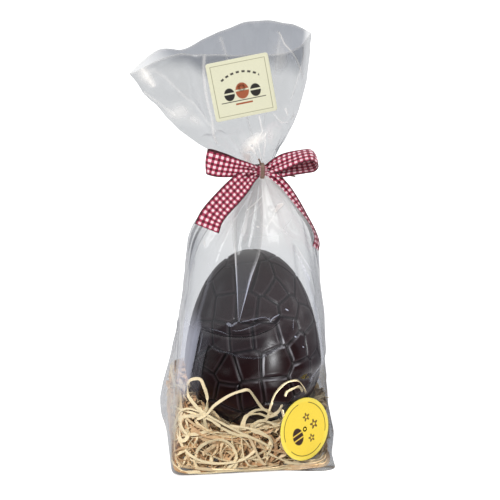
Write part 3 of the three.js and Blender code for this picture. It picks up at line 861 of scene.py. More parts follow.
def chocolate_egg():
    """The egg's surface with its plates: each point sinks by how near it is to the border between the two
    nearest plate middles, with a fine lip along the groove, and each plate swells a little in its middle."""
    polar = np.linspace(0, math.pi, EGG_GRID["rows"] + 2)[1:-1, None]
    azimuth = np.linspace(0, 2 * math.pi, EGG_GRID["around"], endpoint=False)[None, :]
    azimuth = azimuth - EGG_GRID["denser_in_front"] * np.sin(azimuth)
    points = egg_shape(azimuth + 0 * polar, polar + 0 * azimuth)
    flat = points.reshape(-1, 3)
    border, facing = plate_borders(flat)
    groove, wide = PLATES["groove"], PLATES["lip_width"] * PLATES["groove"]
    swell = PLATES["crown"] * (1 - np.exp(-border / PLATES["crown_width"]))
    sink = PLATES["depth"] * np.exp(-((border / groove) ** 2))
    lip = PLATES["lip"] * np.exp(-(((border - PLATES["lip_at"] * groove) / wide) ** 2))
    relief = swell - sink + lip - PLATES["crown"] + waves(flat, [PLATES["uneven"]])
    # Painted glints on the lips, on the side that faces their light.
    painted_glint = painted_glint_places((azimuth + 0 * polar).ravel(), flat[:, 2])
    painted_glint = painted_glint * (lip / PLATES["lip"]) ** 0.8 * smoothstep(facing, -1, 3)
    flat = flat + normals_of(points).reshape(-1, 3) * relief[:, None]
    ends = egg_shape(np.zeros(2), np.array([0, math.pi]))
    rows, columns = points.shape[:2]
    count = rows * columns
    triangles = np.concatenate([
        fan(np.arange(columns), count, False), fan(np.arange(columns) + count - columns, count + 1, True)
    ])
    return piece(
        "chocolate_egg", np.concatenate([flat, ends]), grid_faces(rows, columns, True), triangles,
        values={title: np.append(value, [0, 0]) for title, value in
                (("groove", sink / PLATES["depth"]), ("lip", lip / PLATES["lip"]), ("painted_glint", painted_glint))},
        material=dark_chocolate(),
    )


# ---------------------------------------------------------------------------------------------------------
# Wood straw
# ---------------------------------------------------------------------------------------------------------

# The loose strands: how many, their even steps, widths and thickness; the levels they lie between and where
# they are heaped up or sunk (angle, spread, height); the gaps they keep; and how they wander at a step.
STRAW = {
    "seed": 21, "strands": 340, "steps": 52, "step": 2.4, "width": (1.5, 3.2), "thickness": 0.35,
    "low": 1.2, "top": 33.0, "heaps": [(3.5, 0.5, 14), (2.4, 0.5, 8), (4.4, 0.3, -7), (5.9, 0.4, 9)],
    "film_gap": 2.6, "egg_gap": 0.9, "shy": 6.0, "turning": (0.02, 0.1), "turning_kept": (0.03, 0.4),
    "drift": 0.16, "lie": (0, 0.9, 0.16), "end": 0.35, "end_steps": 2.5, "uneven": 0.12,
}

# The strands in front: their points along, widths, tones, how they lie, how far they are set forward of their
# points, the gap to the film and the egg, and the height they keep under.
HEROES = {
    "steps": 80, "width": (1.0, 2.2), "tone": (0.5, 1), "lie": (math.pi / 2, 0.35, 0.07), "forward": 1.4,
    "gap": 0.45, "top": 90,
}

# Single strands that stand out in front, as points just behind the front panel.
HERO_STRANDS = {
    "teardrop": [
        (-30, -45, 30), (-32.4, -46, 38), (-33.7, -46, 45), (-38.3, -45, 50.5), (-43.6, -43, 58.3),
        (-44.5, -42, 65.8), (-40.8, -43, 69.7), (-35.4, -45, 70.6), (-32.8, -46, 65.2), (-30.8, -46, 56.9),
        (-31.6, -46.4, 48.7), (-36, -45.5, 44), (-42.5, -43, 42.4), (-47.2, -40, 40), (-48.5, -39, 34.5),
        (-45, -42, 28.9), (-38.6, -46, 30), (-27.7, -47, 33),
    ],
    "long_arch": [
        (-38, -44, 40), (-31.6, -47, 45), (-26.2, -47, 51.4), (-16.7, -47.6, 58.4), (-8.6, -48, 61.7),
        (-3.1, -48, 62.2), (0.9, -48, 56.7), (5.7, -48, 49), (10.5, -48, 45), (17, -46, 41),
    ],
    "right_arch": [
        (9, -47, 38), (11.2, -47.5, 46.3), (13.8, -48, 54.5), (19.2, -47.6, 61.4), (25.3, -46, 64.6),
        (32.8, -43, 64), (37, -39, 58), (41, -35, 50),
    ],
    "diagonal": [
        (-36, -45, 50), (-32.3, -47, 45.7), (-20.8, -48, 38.2), (-8.6, -48.6, 30.7), (2.4, -48.6, 24.7),
        (12, -48, 18),
    ],
    "curl": [
        (-6.5, -47, 32), (-5, -47.5, 41), (0.3, -48, 46.2), (7.1, -47, 46.6), (12, -46, 43.5),
        (9.5, -45, 38.5), (3, -47, 36.5), (-0.6, -48.3, 32), (6.5, -48.6, 28.5), (12, -48, 24),
        (9, -47, 15),
    ],
    "hook": [(23, -45, 54), (24, -44.6, 57), (28.1, -44, 58.2), (34.2, -41, 58.2), (37.7, -38, 53)],
    "wave": [
        (-16, -47, 36), (-3, -48.4, 33.6), (6.5, -48.8, 30), (13, -48.4, 22), (10, -48.2, 13), (4, -48, 9),
        (-8, -48, 12),
    ],
    "low_bow": [
        (-50, -38, 22), (-44, -45, 15), (-34, -48.4, 10), (-20, -49, 8), (-6, -49, 11), (2, -48.4, 17),
    ],
    "left_rise": [
        (-51, -30, 12), (-52, -33, 26), (-50, -36, 40), (-45, -41, 47), (-36, -45, 46), (-24, -47, 38),
    ],
    "ring": [
        (-38.5, -46, 8), (-39, -46.5, 13.5), (-37, -47, 19.5), (-30.5, -48, 24.5), (-21, -48.5, 26),
        (-13.5, -48.5, 19.5), (-12, -48.5, 10.5), (-17.5, -48.5, 4), (-28, -48, 2.5), (-37.5, -47, 4.5),
        (-40.5, -45, 10),
    ],
    "star_right": [
        (-32, -44, 46), (-30.5, -45, 43), (-24, -47, 36.5), (-13, -48.4, 30), (-1.5, -48.6, 26.5),
        (9.5, -48, 20), (12, -46, 15),
    ],
    "left_loop": [
        (-47, -38, 44), (-49.5, -38, 36.5), (-48, -39, 29), (-43.5, -42, 26), (-35.5, -46, 27.5),
        (-28, -48, 31), (-17, -48.4, 30.5), (-6.5, -48.6, 25.5), (-1.5, -48, 18),
    ],
    "near_loop": [
        (-8, -46, 32), (-6.5, -47, 39), (-4, -47.5, 43), (4, -48, 44), (10.5, -48, 41.5), (16, -47, 43.5),
        (21, -45, 48),
    ],
    "near_bend": [
        (-2, -47, 34), (4, -47.6, 38.5), (10.5, -48, 37.5), (17, -47, 34.5), (21, -46, 38.5), (20, -45, 45),
    ],
    "hairpin": [
        (-4, -48, 29), (0, -48.6, 20.5), (4, -49, 11), (8, -49, 5.5), (9.5, -48.4, 9.5), (8, -48, 16.5),
        (2.5, -47, 24),
    ],
    "drop": [(-15, -47, 28), (-14, -48, 21.5), (-11.5, -48.8, 13.5), (-12, -49, 6), (-15.5, -48, 3)],
    "second_drop": [(-8, -48, 26), (-6.5, -49, 12.5), (-2.5, -49, 5.5), (3, -48, 4)],
    "bottom": [
        (-46, -42, 8), (-37.5, -47, 4), (-24, -49, 2.5), (-10.5, -49, 4), (4, -49, 3), (18, -48.5, 4.5),
    ],
    "left_fall": [
        (-50, -28, 42), (-51, -33, 34), (-50.5, -36, 25), (-47, -41, 16), (-41, -45, 9), (-30, -48, 8),
    ],
    "left_bar": [(-52, -22, 40), (-48, -34, 43), (-40.5, -42, 44), (-31.5, -46, 42), (-22, -48, 36)],
    "right_bottom": [
        (10, -48, 14), (18, -48, 9), (27, -46, 4.5), (38, -40, 3), (47, -30, 5), (51, -20, 11),
    ],
    "right_side": [(52, -8, 30), (53, -16, 22), (52.5, -22, 14), (50, -26, 8), (44, -34, 4)],
    "corner_a": [(22, -48, 6), (32, -46.5, 3), (42, -45, 1.6), (50, -42, 1.4), (53, -32, 1.8)],
    "corner_b": [(26, -46, 9), (36, -44, 4), (45, -41, 2), (51, -35, 1.6), (54, -24, 2.4), (54, -12, 5)],
    "corner_c": [
        (54, -2, 9), (54.5, -14, 5), (53.5, -26, 2.4), (50, -36, 1.4), (44, -42, 1.4), (34, -46, 1.4),
    ],
    "corner_d": [
        (40, -38, 12), (47, -32, 7), (52, -26, 3), (53, -18, 1.6), (50, -30, 1.4), (40, -42, 1.4),
        (26, -48, 1.4),
    ],
    "corner_e": [(54, -10, 16), (53, -22, 9), (51, -30, 4), (46, -38, 1.8), (36, -45, 1.2), (24, -49, 1.4)],
    "front_edge": [
        (-50, -46, 2), (-32, -50, 1.5), (-10, -50.4, 2), (12, -50, 1.5), (30, -46, 2), (42, -38, 3),
    ],
    "second_edge": [
        (-40, -48, 5), (-20, -50, 3), (2, -50, 1.6), (20, -49, 3), (34, -43, 1.8), (46, -33, 1.5),
        (53, -16, 2),
    ],
    "right_edge": [(30, -44, 1.8), (42, -36, 5), (50, -26, 2), (54, -10, 1.6), (54, 6, 4)],
    "corner_loop": [
        (46, -30, 14), (52, -20, 9), (53, -12, 3), (48, -24, 2), (42, -34, 6), (49, -26, 17), (53, -8, 20),
    ],
    "left_edge": [(-52, 4, 2), (-54, -16, 1.6), (-54, -34, 2), (-48, -46, 1.6), (-36, -49, 2.4)],
    "cross": [
        (-46, -40, 26), (-37, -45, 17.5), (-26.5, -47.6, 12.5), (-14.5, -48.6, 9), (-1.5, -48.6, 11),
        (10, -47, 16),
    ],
}


def inside_pack(points, low, high, film_gap, egg_gap):
    """Moves points out of the egg, in from the film and between two heights, along straight lines."""
    centre = np.array(EGG["centre"])
    offset = points - centre
    tall = np.where(offset[..., 2] < 0, EGG["below"], EGG["above"])
    wide = np.full_like(tall, EGG["radius"])
    size = np.stack([wide, wide, tall], -1) + egg_gap
    depth = np.linalg.norm(offset / size, axis=-1, keepdims=True)
    points = np.where(depth < 1, centre + offset / np.maximum(depth, 0.2), points)
    points[..., 2] = np.clip(points[..., 2], low, high)
    height = points[..., 2]
    lean = along(BODY_STATIONS, height, 1)
    angle = np.arctan2(points[..., 1], points[..., 0] - lean) % (2 * math.pi)
    limit = film_reach(angle, height)[0] - film_gap
    reach = np.hypot(points[..., 1], points[..., 0] - lean)
    held = np.minimum(reach, limit)
    points[..., 0], points[..., 1] = lean + held * np.cos(angle), held * np.sin(angle)
    return points


def bed_top(angle):
    """Height of the straw round the egg: level, with bells added where it is heaped up or sunk."""
    heaps = [bell * np.exp(-(((angle - at) / width) ** 2)) for at, width, bell in STRAW["heaps"]]
    return STRAW["top"] + sum(heaps)


def loose_strands(random):
    """Paths of the loose strands, steps by strands by 3. Each starts somewhere in the bed round the egg and
    walks on in even steps, its heading turning about an axis that drifts, so it curls and loops, and it
    turns back from the film, some sooner than others."""
    count = STRAW["strands"]
    angle = random.uniform(0, 2 * math.pi, count)
    low = STRAW["low"]
    height = mix(low, bed_top(angle), random.uniform(0, 1, count))
    reach, lean = film_reach(angle, height)
    reach = reach * mix(0.5, 1.0, random.uniform(0, 1, count) ** 0.4)
    place = np.stack([lean + reach * np.cos(angle), reach * np.sin(angle), height], -1)
    heading = unit(random.normal(0, 1, (count, 3)) * [1, 1, 0.8])
    axis = unit(random.normal(0, 1, (count, 3)))
    turning = random.uniform(*STRAW["turning"], (count, 1)) * STRAW["step"]
    shy = STRAW["shy"] * random.uniform(0, 1, count) ** 1.5
    path = [place]
    for _ in range(STRAW["steps"] - 1):
        axis = unit(axis + random.normal(0, STRAW["drift"], (count, 3)))
        axis = unit(axis - (axis * heading).sum(1, keepdims=True) * heading * 0.6)
        turning = np.clip(turning * random.uniform(0.85, 1.17, (count, 1)), *STRAW["turning_kept"])
        heading = unit(heading + np.cross(axis, heading) * turning)
        place = path[-1] + STRAW["step"] * heading
        top = bed_top(np.arctan2(place[:, 1], place[:, 0]) % (2 * math.pi))
        held = inside_pack(place.copy(), low + 0.7 * shy, top, STRAW["film_gap"] + shy, STRAW["egg_gap"])
        pushed = held - place
        heading = unit(heading + 0.7 * pushed)
        path.append(held)
    paths = np.array(path)
    for _ in range(2):
        paths[1:-1] = (paths[:-2] + 2 * paths[1:-1] + paths[2:]) / 4
    return paths


def strips_along(paths, widths, twist, thickness):
    """Flat strips along paths of steps by strands: four points round each step, set out across a direction
    that starts level and slowly twists, with the ends drawn to a blunt point. Gives them as steps by strands
    by 4 by 3."""
    tangent = unit(np.gradient(paths, axis=0))
    level = unit(np.cross(tangent, [0.0, 0.0, 1.0]) + 1e-4)
    lift = np.cross(level, tangent)
    side = level * np.cos(twist)[..., None] + lift * np.sin(twist)[..., None]
    face = np.cross(side, tangent)
    from_start = np.arange(len(paths))
    from_end = np.minimum(from_start, from_start[::-1])
    taper = np.minimum(1, STRAW["end"] + from_end / STRAW["end_steps"])[:, None]
    half = (widths * taper / 2)[..., None]
    thick = thickness / 2
    rings = [paths + side * half * a + face * thick * b for a, b in ((1, 1), (-1, 1), (-1, -1), (1, -1))]
    return np.stack(rings, 2)


def tubes(points):
    """Quads of many closed strips: points are steps by strands by 4 by 3. The ends are closed by a quad."""
    steps, strands, _, _ = points.shape
    number = np.arange(steps * strands * 4).reshape(steps, strands, 4)
    a, b = number[:-1], number[1:]
    sides = np.stack([a, b, np.roll(b, -1, axis=2), np.roll(a, -1, axis=2)], -1).reshape(-1, 4)
    return np.concatenate([sides, number[0], number[-1][:, ::-1]])


def straw_piece(name, paths, random, width, tone, lie):
    """Strips along the paths, each with its own width and tone, and a drifting twist: its middle, its spread
    and how much it drifts at a step. The UV map is the place across and along each strip."""
    steps, strands = paths.shape[:2]
    middle, spread, drift = lie
    start = middle + random.uniform(-spread, spread, strands)
    twist = start + np.cumsum(random.normal(0, drift, (steps, strands)), axis=0)
    widths = random.uniform(*width, strands)
    shift = random.uniform(0, 6, strands)
    widths = widths * (1 + STRAW["uneven"] * np.sin(np.arange(steps)[:, None] / 3 + shift))
    points = strips_along(paths, widths, twist, STRAW["thickness"])
    length = np.cumsum(np.linalg.norm(np.diff(paths, axis=0, prepend=paths[:1]), axis=-1), axis=0)
    across = np.array([0.5, -0.5, -0.5, 0.5])
    uv = np.stack([widths[..., None] * across, length[..., None] + 0 * across], -1)
    shade = tone + 0 * points[..., 0]
    made = piece(
        name, points.reshape(-1, 3), tubes(points), uv=uv.reshape(-1, 2), values={"tone": shade.ravel()},
        material=wood_straw(),
    )
    made.data.shade_flat()
    return made


def wood_straw_nest():
    """The loose strands as one piece and the strands in front as another."""
    random = np.random.default_rng(STRAW["seed"])
    loose = loose_strands(random)
    tone = random.uniform(0, 1, (1, loose.shape[1], 1))
    straw_piece("wood_straw_nest", loose, random, STRAW["width"], tone, STRAW["lie"])
    t = np.linspace(0, 1, HEROES["steps"])
    heroes = np.stack([curve(keys, t) for keys in HERO_STRANDS.values()], 1)
    heroes[..., 1] -= HEROES["forward"]
    heroes = inside_pack(heroes, STRAW["low"], HEROES["top"], HEROES["gap"], HEROES["gap"])
    tone = random.uniform(*HEROES["tone"], (1, heroes.shape[1], 1))
    straw_piece("wood_straw_front", heroes, random, HEROES["width"], tone, HEROES["lie"])


# ---------------------------------------------------------------------------------------------------------
# The gingham bow
# ---------------------------------------------------------------------------------------------------------

# The ribbon's width and thickness, its cup across as a share of its half width, its pleats at the knot
# (depth, how many, and their turn along) and its ripple.
RIBBON = {
    "width": 16.0, "thickness": 0.32, "cup": -0.1, "pleat": 2.2, "pleats": 2.5, "pleat_turn": 0.015,
    "ripple": (0.35, 7), "calm": 0.6,
}
KNOT = {"centre": (9.7, -11.8, 204.2), "half": (4.5, 2.9, 3.9), "folds": 6, "fold": 0.09, "grid": (26, 48)}

# Each strip as keys: a point on its middle line, the way across it, and its share of the full width.
STRIPS = {
    "left_loop": [
        ((6.4, -12.6, 204.6), (0, 0, 1), 0.4),
        ((0, -16.5, 207), (0.05, 0, 1), 0.55),
        ((-9.4, -19.5, 209.4), (0.08, 0, 1), 0.82),
        ((-18.5, -20.5, 211.6), (0.06, 0, 1), 1.02),
        ((-25, -19.6, 213.2), (0.04, 0, 1), 1.05),
        ((-27, -17.6, 213.4), (0.04, 0, 1), 1.05),
        ((-25, -15.6, 213), (0.04, 0, 1), 1.04),
        ((-15, -14.8, 210), (0.08, 0, 1), 0.92),
        ((-3, -13.8, 206.4), (0.1, 0, 1), 0.6),
        ((6.4, -11.6, 204), (0, 0, 1), 0.4),
    ],
    "right_loop": [
        ((13, -12.2, 204.8), (0, -0.3, -0.95), 0.4),
        ((17.1, -15, 208), (0.15, -0.55, -0.8), 0.56),
        ((23.2, -17.5, 211.6), (0.2, -0.82, -0.5), 0.8),
        ((29.5, -19, 214.2), (0.12, -0.92, -0.34), 0.94),
        ((36.5, -19.5, 216.2), (0.05, -0.97, -0.22), 1),
        ((41.5, -19.5, 216.2), (0, -0.97, -0.22), 1),
        ((44.4, -19.5, 213), (0, -0.96, -0.26), 1),
        ((42.2, -19.5, 209.8), (0, -0.95, -0.3), 1),
        ((35.5, -19.5, 208.6), (0.05, -0.95, -0.3), 0.96),
        ((27, -18.5, 207.4), (0.1, -0.88, -0.4), 0.82),
        ((18.9, -15.5, 205.2), (0.1, -0.6, -0.75), 0.56),
        ((13, -12.6, 203.8), (0, -0.3, -0.95), 0.4),
    ],
    "left_tail": [
        ((6.4, -12.8, 203.6), (0.3, -0.1, -0.95), 0.42),
        ((1, -17, 202.4), (0.55, -0.1, -0.82), 0.66),
        ((-5, -21.5, 198.8), (0.62, -0.15, -0.76), 0.88),
        ((-11.5, -26, 194), (0.66, -0.2, -0.72), 0.96),
        ((-20.8, -32, 186.6), (0.68, -0.25, -0.7), 0.96),
        ((-26.2, -35.9, 181), (0.76, -0.24, -0.6), 1.0),
        ((-29.3, -38.4, 174.8), (0.9, -0.16, -0.38), 1.06),
    ],
    "right_tail": [
        ((13, -12.4, 203.4), (0, -0.2, 1), 0.42),
        ((18.4, -16.5, 200.8), (0.4, -0.35, 0.85), 0.5),
        ((23.8, -20, 196.2), (0.5, -0.6, 0.6), 0.5),
        ((28.4, -23, 190.3), (0.4, -0.85, 0.35), 0.6),
        ((35.2, -27.5, 180), (0.2, -0.95, 0.15), 0.8),
        ((41.2, -31, 170), (0.1, -0.98, 0.08), 0.9),
        ((43.6, -33.5, 162.5), (0.06, -0.99, 0.05), 0.9),
        ((42.8, -34.5, 156.5), (0.06, -0.99, 0.05), 0.85),
    ],
}
STRIP_GRID = {"across": 24, "per_key": 12}


def strip_grid(keys):
    """A flat strip swept along its keys and cupped across. Where it narrows towards the knot it gathers into
    pleats, deeper the narrower it gets. Gives its two faces as one closed ring round each step, and the place
    of each point on the flat ribbon."""
    steps = STRIP_GRID["per_key"] * (len(keys) - 1) + 1
    t = np.linspace(0, 1, steps)
    line = curve([at for at, _, _ in keys], t)
    across = curve([way for _, way, _ in keys], t)
    share = curve([[part] for _, _, part in keys], t)[:, :1]
    tangent = unit(np.gradient(line, axis=0))
    normal = unit(np.cross(tangent, across))
    side = np.cross(normal, tangent)
    s = np.linspace(-1, 1, STRIP_GRID["across"] + 1)[None, :]
    half = RIBBON["width"] / 2 * share
    length = np.cumsum(np.linalg.norm(np.diff(line, axis=0, prepend=line[:1]), axis=-1))[:, None]
    gather = np.clip(1 - share, 0, 0.6)
    turn = math.pi * (RIBBON["pleats"] * s + RIBBON["pleat_turn"] * length)
    pleats = RIBBON["pleat"] * gather * np.sin(turn) * (1 - 0.3 * s * s)
    rise, run = RIBBON["ripple"]
    ripple = rise * np.sin(length / run + 2 * s) * np.minimum(share, 1) * RIBBON["calm"]
    lift = RIBBON["cup"] * half * (1 - s * s) + pleats + ripple
    middle = line[:, None] + side[:, None] * (s * half)[..., None] + normal[:, None] * lift[..., None]
    tangents = np.gradient(middle, axis=0)
    crosses = np.gradient(middle, axis=1)
    face = unit(np.cross(tangents, crosses))
    offset = face * RIBBON["thickness"] / 2
    ring = np.concatenate([middle - offset, (middle + offset)[:, ::-1]], 1)
    flat = np.stack([(s + 1) * RIBBON["width"] / 2 + 0 * length, length + 0 * s], -1)
    return ring, np.concatenate([flat, flat[:, ::-1]], 1), float(length[-1, 0])


def knot_core():
    """The gathered ribbon under the tie: a lens of cloth with six folds running through it. Gives its points,
    its two ends and the place of each point on the flat ribbon."""
    rows, around = KNOT["grid"]
    polar = np.linspace(0, math.pi, rows)[1:-1, None]
    turn = np.linspace(0, 2 * math.pi, around, endpoint=False)[None, :]
    folds = 1 + KNOT["fold"] * np.cos(KNOT["folds"] * turn + 0.5 * np.sin(3 * polar)) * np.sin(polar)
    x = -np.cos(polar) + 0 * turn
    y, z = np.sin(polar) * np.cos(turn) * folds, np.sin(polar) * np.sin(turn) * folds
    size = np.array(KNOT["half"])
    points = np.array(KNOT["centre"]) + np.stack([x, y, z], -1) * size
    ends = np.array(KNOT["centre"]) + np.array([[-1, 0, 0], [1, 0, 0]]) * size
    flat = np.stack([RIBBON["width"] * (np.abs(((turn * 1.3) % 2) - 1) + 0 * x), x * size[0]], -1)
    return points, ends, flat


def gingham_bow():
    """All the strips and the knot as one piece, with the flat ribbon's places as its UV map."""
    points, quads, triangles, uv, count, length = [], [], [], [], 0, 0.0
    for keys in STRIPS.values():
        ring, flat, run = strip_grid(keys)
        rows, columns = ring.shape[:2]
        faces = grid_faces(rows, columns, True) + count
        number = np.arange(columns // 2 - 1)
        for first, order in ((0, -1), (rows - 1, 1)):
            start = count + first * columns
            cap = np.stack([number, number + 1, columns - 2 - number, columns - 1 - number], -1) + start
            faces = np.concatenate([faces, cap[:, ::order]])
        points.append(ring.reshape(-1, 3))
        uv.append(flat.reshape(-1, 2) + [0, length])
        quads.append(faces)
        count += rows * columns
        length += run
    core, ends, flat = knot_core()
    rows, columns = core.shape[:2]
    points += [core.reshape(-1, 3), ends]
    uv += [flat.reshape(-1, 2), np.zeros((2, 2))]
    quads.append(grid_faces(rows, columns, True) + count)
    last = count + rows * columns
    triangles = np.concatenate([
        fan(np.arange(columns) + count, last, False), fan(np.arange(columns) + last - columns, last + 1, True)
    ])
    bow = piece(
        "gingham_ribbon_bow", np.concatenate(points), np.concatenate(quads), triangles, uv=np.concatenate(uv),
        material=gingham_ribbon(), node_names=["gingham_bow"],
    )
    return bow


# ---------------------------------------------------------------------------------------------------------
# Card label and round sticker
# ---------------------------------------------------------------------------------------------------------

def round_square(half, corner, count):
    """A square outline with quarter-round corners, its points spread evenly by angle, anticlockwise."""
    angle = np.linspace(0, 2 * math.pi, count, endpoint=False)
    way = np.stack([np.cos(angle), np.sin(angle)], -1)
    square = way * half / np.abs(way).max(-1, keepdims=True)
    middle = np.clip(square, corner - half, half - corner)
    offset = square - middle
    length = np.linalg.norm(offset, axis=-1, keepdims=True)
    return middle + offset * np.where(length > corner, corner / np.maximum(length, 1e-9), 1)


def stuck_on(name, stuck, outline, bend, material, node_name):
    """A thin slab over an outline, as rings that run out over its front, over its rounded edge and back in
    under it, bent a little about its upright middle line."""
    origin, across, up, out = axes_of(stuck)
    soft, low = STUCK_ON["round"], STUCK_ON["gap"]
    high = low + STUCK_ON["thickness"]
    inner = 1 - soft / stuck["half"]
    rings = [(k / 12, high) for k in range(1, 12)]
    rings += [(inner, high), (1, high - soft), (1, low + soft), (inner, low)]
    rings += [(1 - k / 6, low) for k in range(1, 6)]
    scale, depth = np.array(rings).T
    flat = scale[:, None, None] * outline[None]
    lift = depth[:, None] + bend * (flat[..., 0] / stuck["half"]) ** 2
    points = origin + flat[..., :1] * across + flat[..., 1:] * up + lift[..., None] * out
    ends = origin + np.array([[high], [low]]) * out
    rows, columns = points.shape[:2]
    count = rows * columns
    triangles = np.concatenate([
        fan(np.arange(columns), count, True), fan(np.arange(columns) + count - columns, count + 1, False)
    ])
    uv = np.concatenate([flat.reshape(-1, 2), np.zeros((2, 2))])
    back = np.append(np.repeat(depth < low + soft, columns), [0, 1]).astype(float)
    return piece(
        name,
        np.concatenate([points.reshape(-1, 3), ends]),
        grid_faces(rows, columns, True)[:, ::-1],
        triangles[:, ::-1],
        uv=uv,
        values={"back": back},
        material=material,
        node_names=[node_name],
    )


def card_label():
    """The square card, bent a little over the film."""
    outline = round_square(LABEL["half"], 1.6, 160)
    return stuck_on("square_card_label", LABEL, outline, 0.12, printed_card(), "card_label")


def round_sticker():
    """The round sticker, flat on the film."""
    angle = np.linspace(0, 2 * math.pi, 120, endpoint=False)
    outline = STICKER["half"] * np.stack([np.cos(angle), np.sin(angle)], -1)
    return stuck_on(
        "yellow_round_sticker", STICKER, outline, 0.0, printed_sticker(), "round_sticker"
    )


# ---------------------------------------------------------------------------------------------------------
# Materials
# ---------------------------------------------------------------------------------------------------------

def linear(hex_colour):
    """An sRGB hex colour as the linear red, green, blue and alpha that the shader takes."""
    value = np.array([int(hex_colour[k:k + 2], 16) for k in (0, 2, 4)]) / 255
    value = np.where(value <= 0.04045, value / 12.92, ((value + 0.055) / 1.055) ** 2.4)
    return (*value.tolist(), 1.0)


def node(tree, kind, sockets=None, **settings):
    """Adds a node with its settings, and gives each named socket a value or a link from another node."""
    made = tree.nodes.new("ShaderNode" + kind)
    for name, value in settings.items():
        setattr(made, name, value)
    for name, value in (sockets or {}).items():
        if isinstance(value, bpy.types.Node):
            value = value.outputs[0]
        if isinstance(value, bpy.types.NodeSocket):
            tree.links.new(value, made.inputs[name])
        else:
            made.inputs[name].default_value = value
    return made


def blank(name):
    """An empty material with this name, and its node tree."""
    made = bpy.data.materials.new(name)
    made.use_nodes = True
    made.node_tree.nodes.clear()
    return made, made.node_tree


def pale_floor():
    """A white sweep that glows all round the pack, but not under it, so that it stays white behind it."""
    made, tree = blank("matt pale floor")
    place = node(tree, "SeparateXYZ", {0: node(tree, "TexCoord").outputs["Object"]})
    sides = [node(tree, "Math", {0: place.outputs[axis]}, operation="ABSOLUTE") for axis in ("X", "Y")]
    farther = node(tree, "Math", {0: sides[0], 1: sides[1]}, operation="MAXIMUM")
    glow = node(tree, "MapRange", {0: farther, 1: 0.042, 2: 0.056, 3: 0.12, 4: 0.6})
    shader = node(tree, "BsdfPrincipled", {
        "Base Color": linear("f2f2f1"), "Roughness": 0.9, "Specular IOR Level": 0.0,
        "Emission Color": linear("ffffff"), "Emission Strength": glow,
    })
    node(tree, "OutputMaterial", {0: shader})
    return made


def clear_film():
    """Cast polypropylene film: glossy and nearly clear, a cool grey where it is seen through, greyer where it
    is seen aslant, with painted shade darker low down, painted shade as grey or dark lines where listed,
    painted haze where it hangs slack, and painted highlights along sharp folds and its cut edge."""
    made, tree = blank("clear polypropylene film")
    slant = node(tree, "LayerWeight", {"Blend": 0.5}).outputs["Facing"]
    sharp = node(tree, "Math", {0: slant, 1: 3.0}, operation="POWER")
    place = node(tree, "TexCoord").outputs["Object"]
    height = node(tree, "SeparateXYZ", {0: place}).outputs["Z"]
    # Aslant film is greyer, in part a real loss at grazing angles; below about 135 mm that grey is darker,
    # painted shade.
    high = node(tree, "MapRange", {0: height, 1: 0.135, 2: 0.16})
    slanted = node(tree, "MixRGB", {0: high, 1: linear("a0a1a5"), 2: linear("d0d0d3")})
    tint = node(tree, "MixRGB", {0: sharp, 1: linear("dadbdc"), 2: slanted})
    # Painted shade: up to 0.5 it greys the film, above that it turns to dark lines.
    layers = node(tree, "Attribute", attribute_name="painted_shade").outputs["Fac"]
    painted_shade = node(tree, "MapRange", {0: layers, 1: 0.0, 2: 0.5})
    painted_dark_lines = node(tree, "MapRange", {0: layers, 1: 0.5, 2: 1.0})
    grey = node(tree, "MixRGB", {0: painted_shade, 1: tint, 2: linear("989ba1")})
    dark = node(tree, "MixRGB", {0: painted_dark_lines, 1: grey, 2: linear("3c3b40")})
    clear = node(tree, "BsdfTransparent", {"Color": dark})
    ripples = node(tree, "TexNoise", {"Vector": place, "Scale": 120.0, "Detail": 3.0, "Roughness": 0.55})
    bump = node(tree, "Bump", {"Strength": 0.1, "Distance": 0.001, "Height": ripples})
    gloss = node(tree, "BsdfGlossy", {"Color": (1, 1, 1, 1), "Roughness": 0.1, "Normal": bump})
    edge = node(tree, "Math", {0: slant, 1: 5.0}, operation="POWER")
    mirror = node(tree, "Math", {0: edge, 1: 0.9, 2: 0.06}, operation="MULTIPLY_ADD")
    shiny = node(tree, "MixShader", {0: mirror, 1: clear, 2: gloss})
    # Painted highlight: where the fold value says, the film turns to a white diffuse layer, bluer below about
    # 135 mm, standing in for light caught by creases.
    fold = node(tree, "Attribute", attribute_name="fold")
    white = node(tree, "MixRGB", {0: high, 1: linear("dcdff0"), 2: linear("fdfaf6")})
    pale = node(tree, "BsdfDiffuse", {"Color": white, "Roughness": 0.5})
    painted_highlight = node(tree, "Math", {0: fold.outputs["Fac"], 1: 0.7}, operation="MULTIPLY")
    creased_film = node(tree, "MixShader", {0: painted_highlight, 1: shiny, 2: pale})
    # Painted haze, standing in for light the film reflects: a faint emission glow, and past 0.03 a white
    # diffuse layer.
    painted_haze = node(tree, "Attribute", attribute_name="painted_haze").outputs["Fac"]
    faint = node(tree, "Math", {0: painted_haze, 1: 0.03}, operation="MINIMUM")
    dense = node(tree, "Math", {0: painted_haze, 1: faint}, operation="SUBTRACT")
    scattered = node(tree, "Math", {0: faint, 1: 0.85}, operation="MULTIPLY")
    haze = node(tree, "Emission", {"Color": white, "Strength": scattered})
    hazy = node(tree, "AddShader", {0: creased_film, 1: haze})
    with_painted_haze = node(tree, "MixShader", {0: dense, 1: hazy, 2: pale})
    made.cycles.emission_sampling = "NONE"
    node(tree, "OutputMaterial", {0: with_painted_haze})
    return made


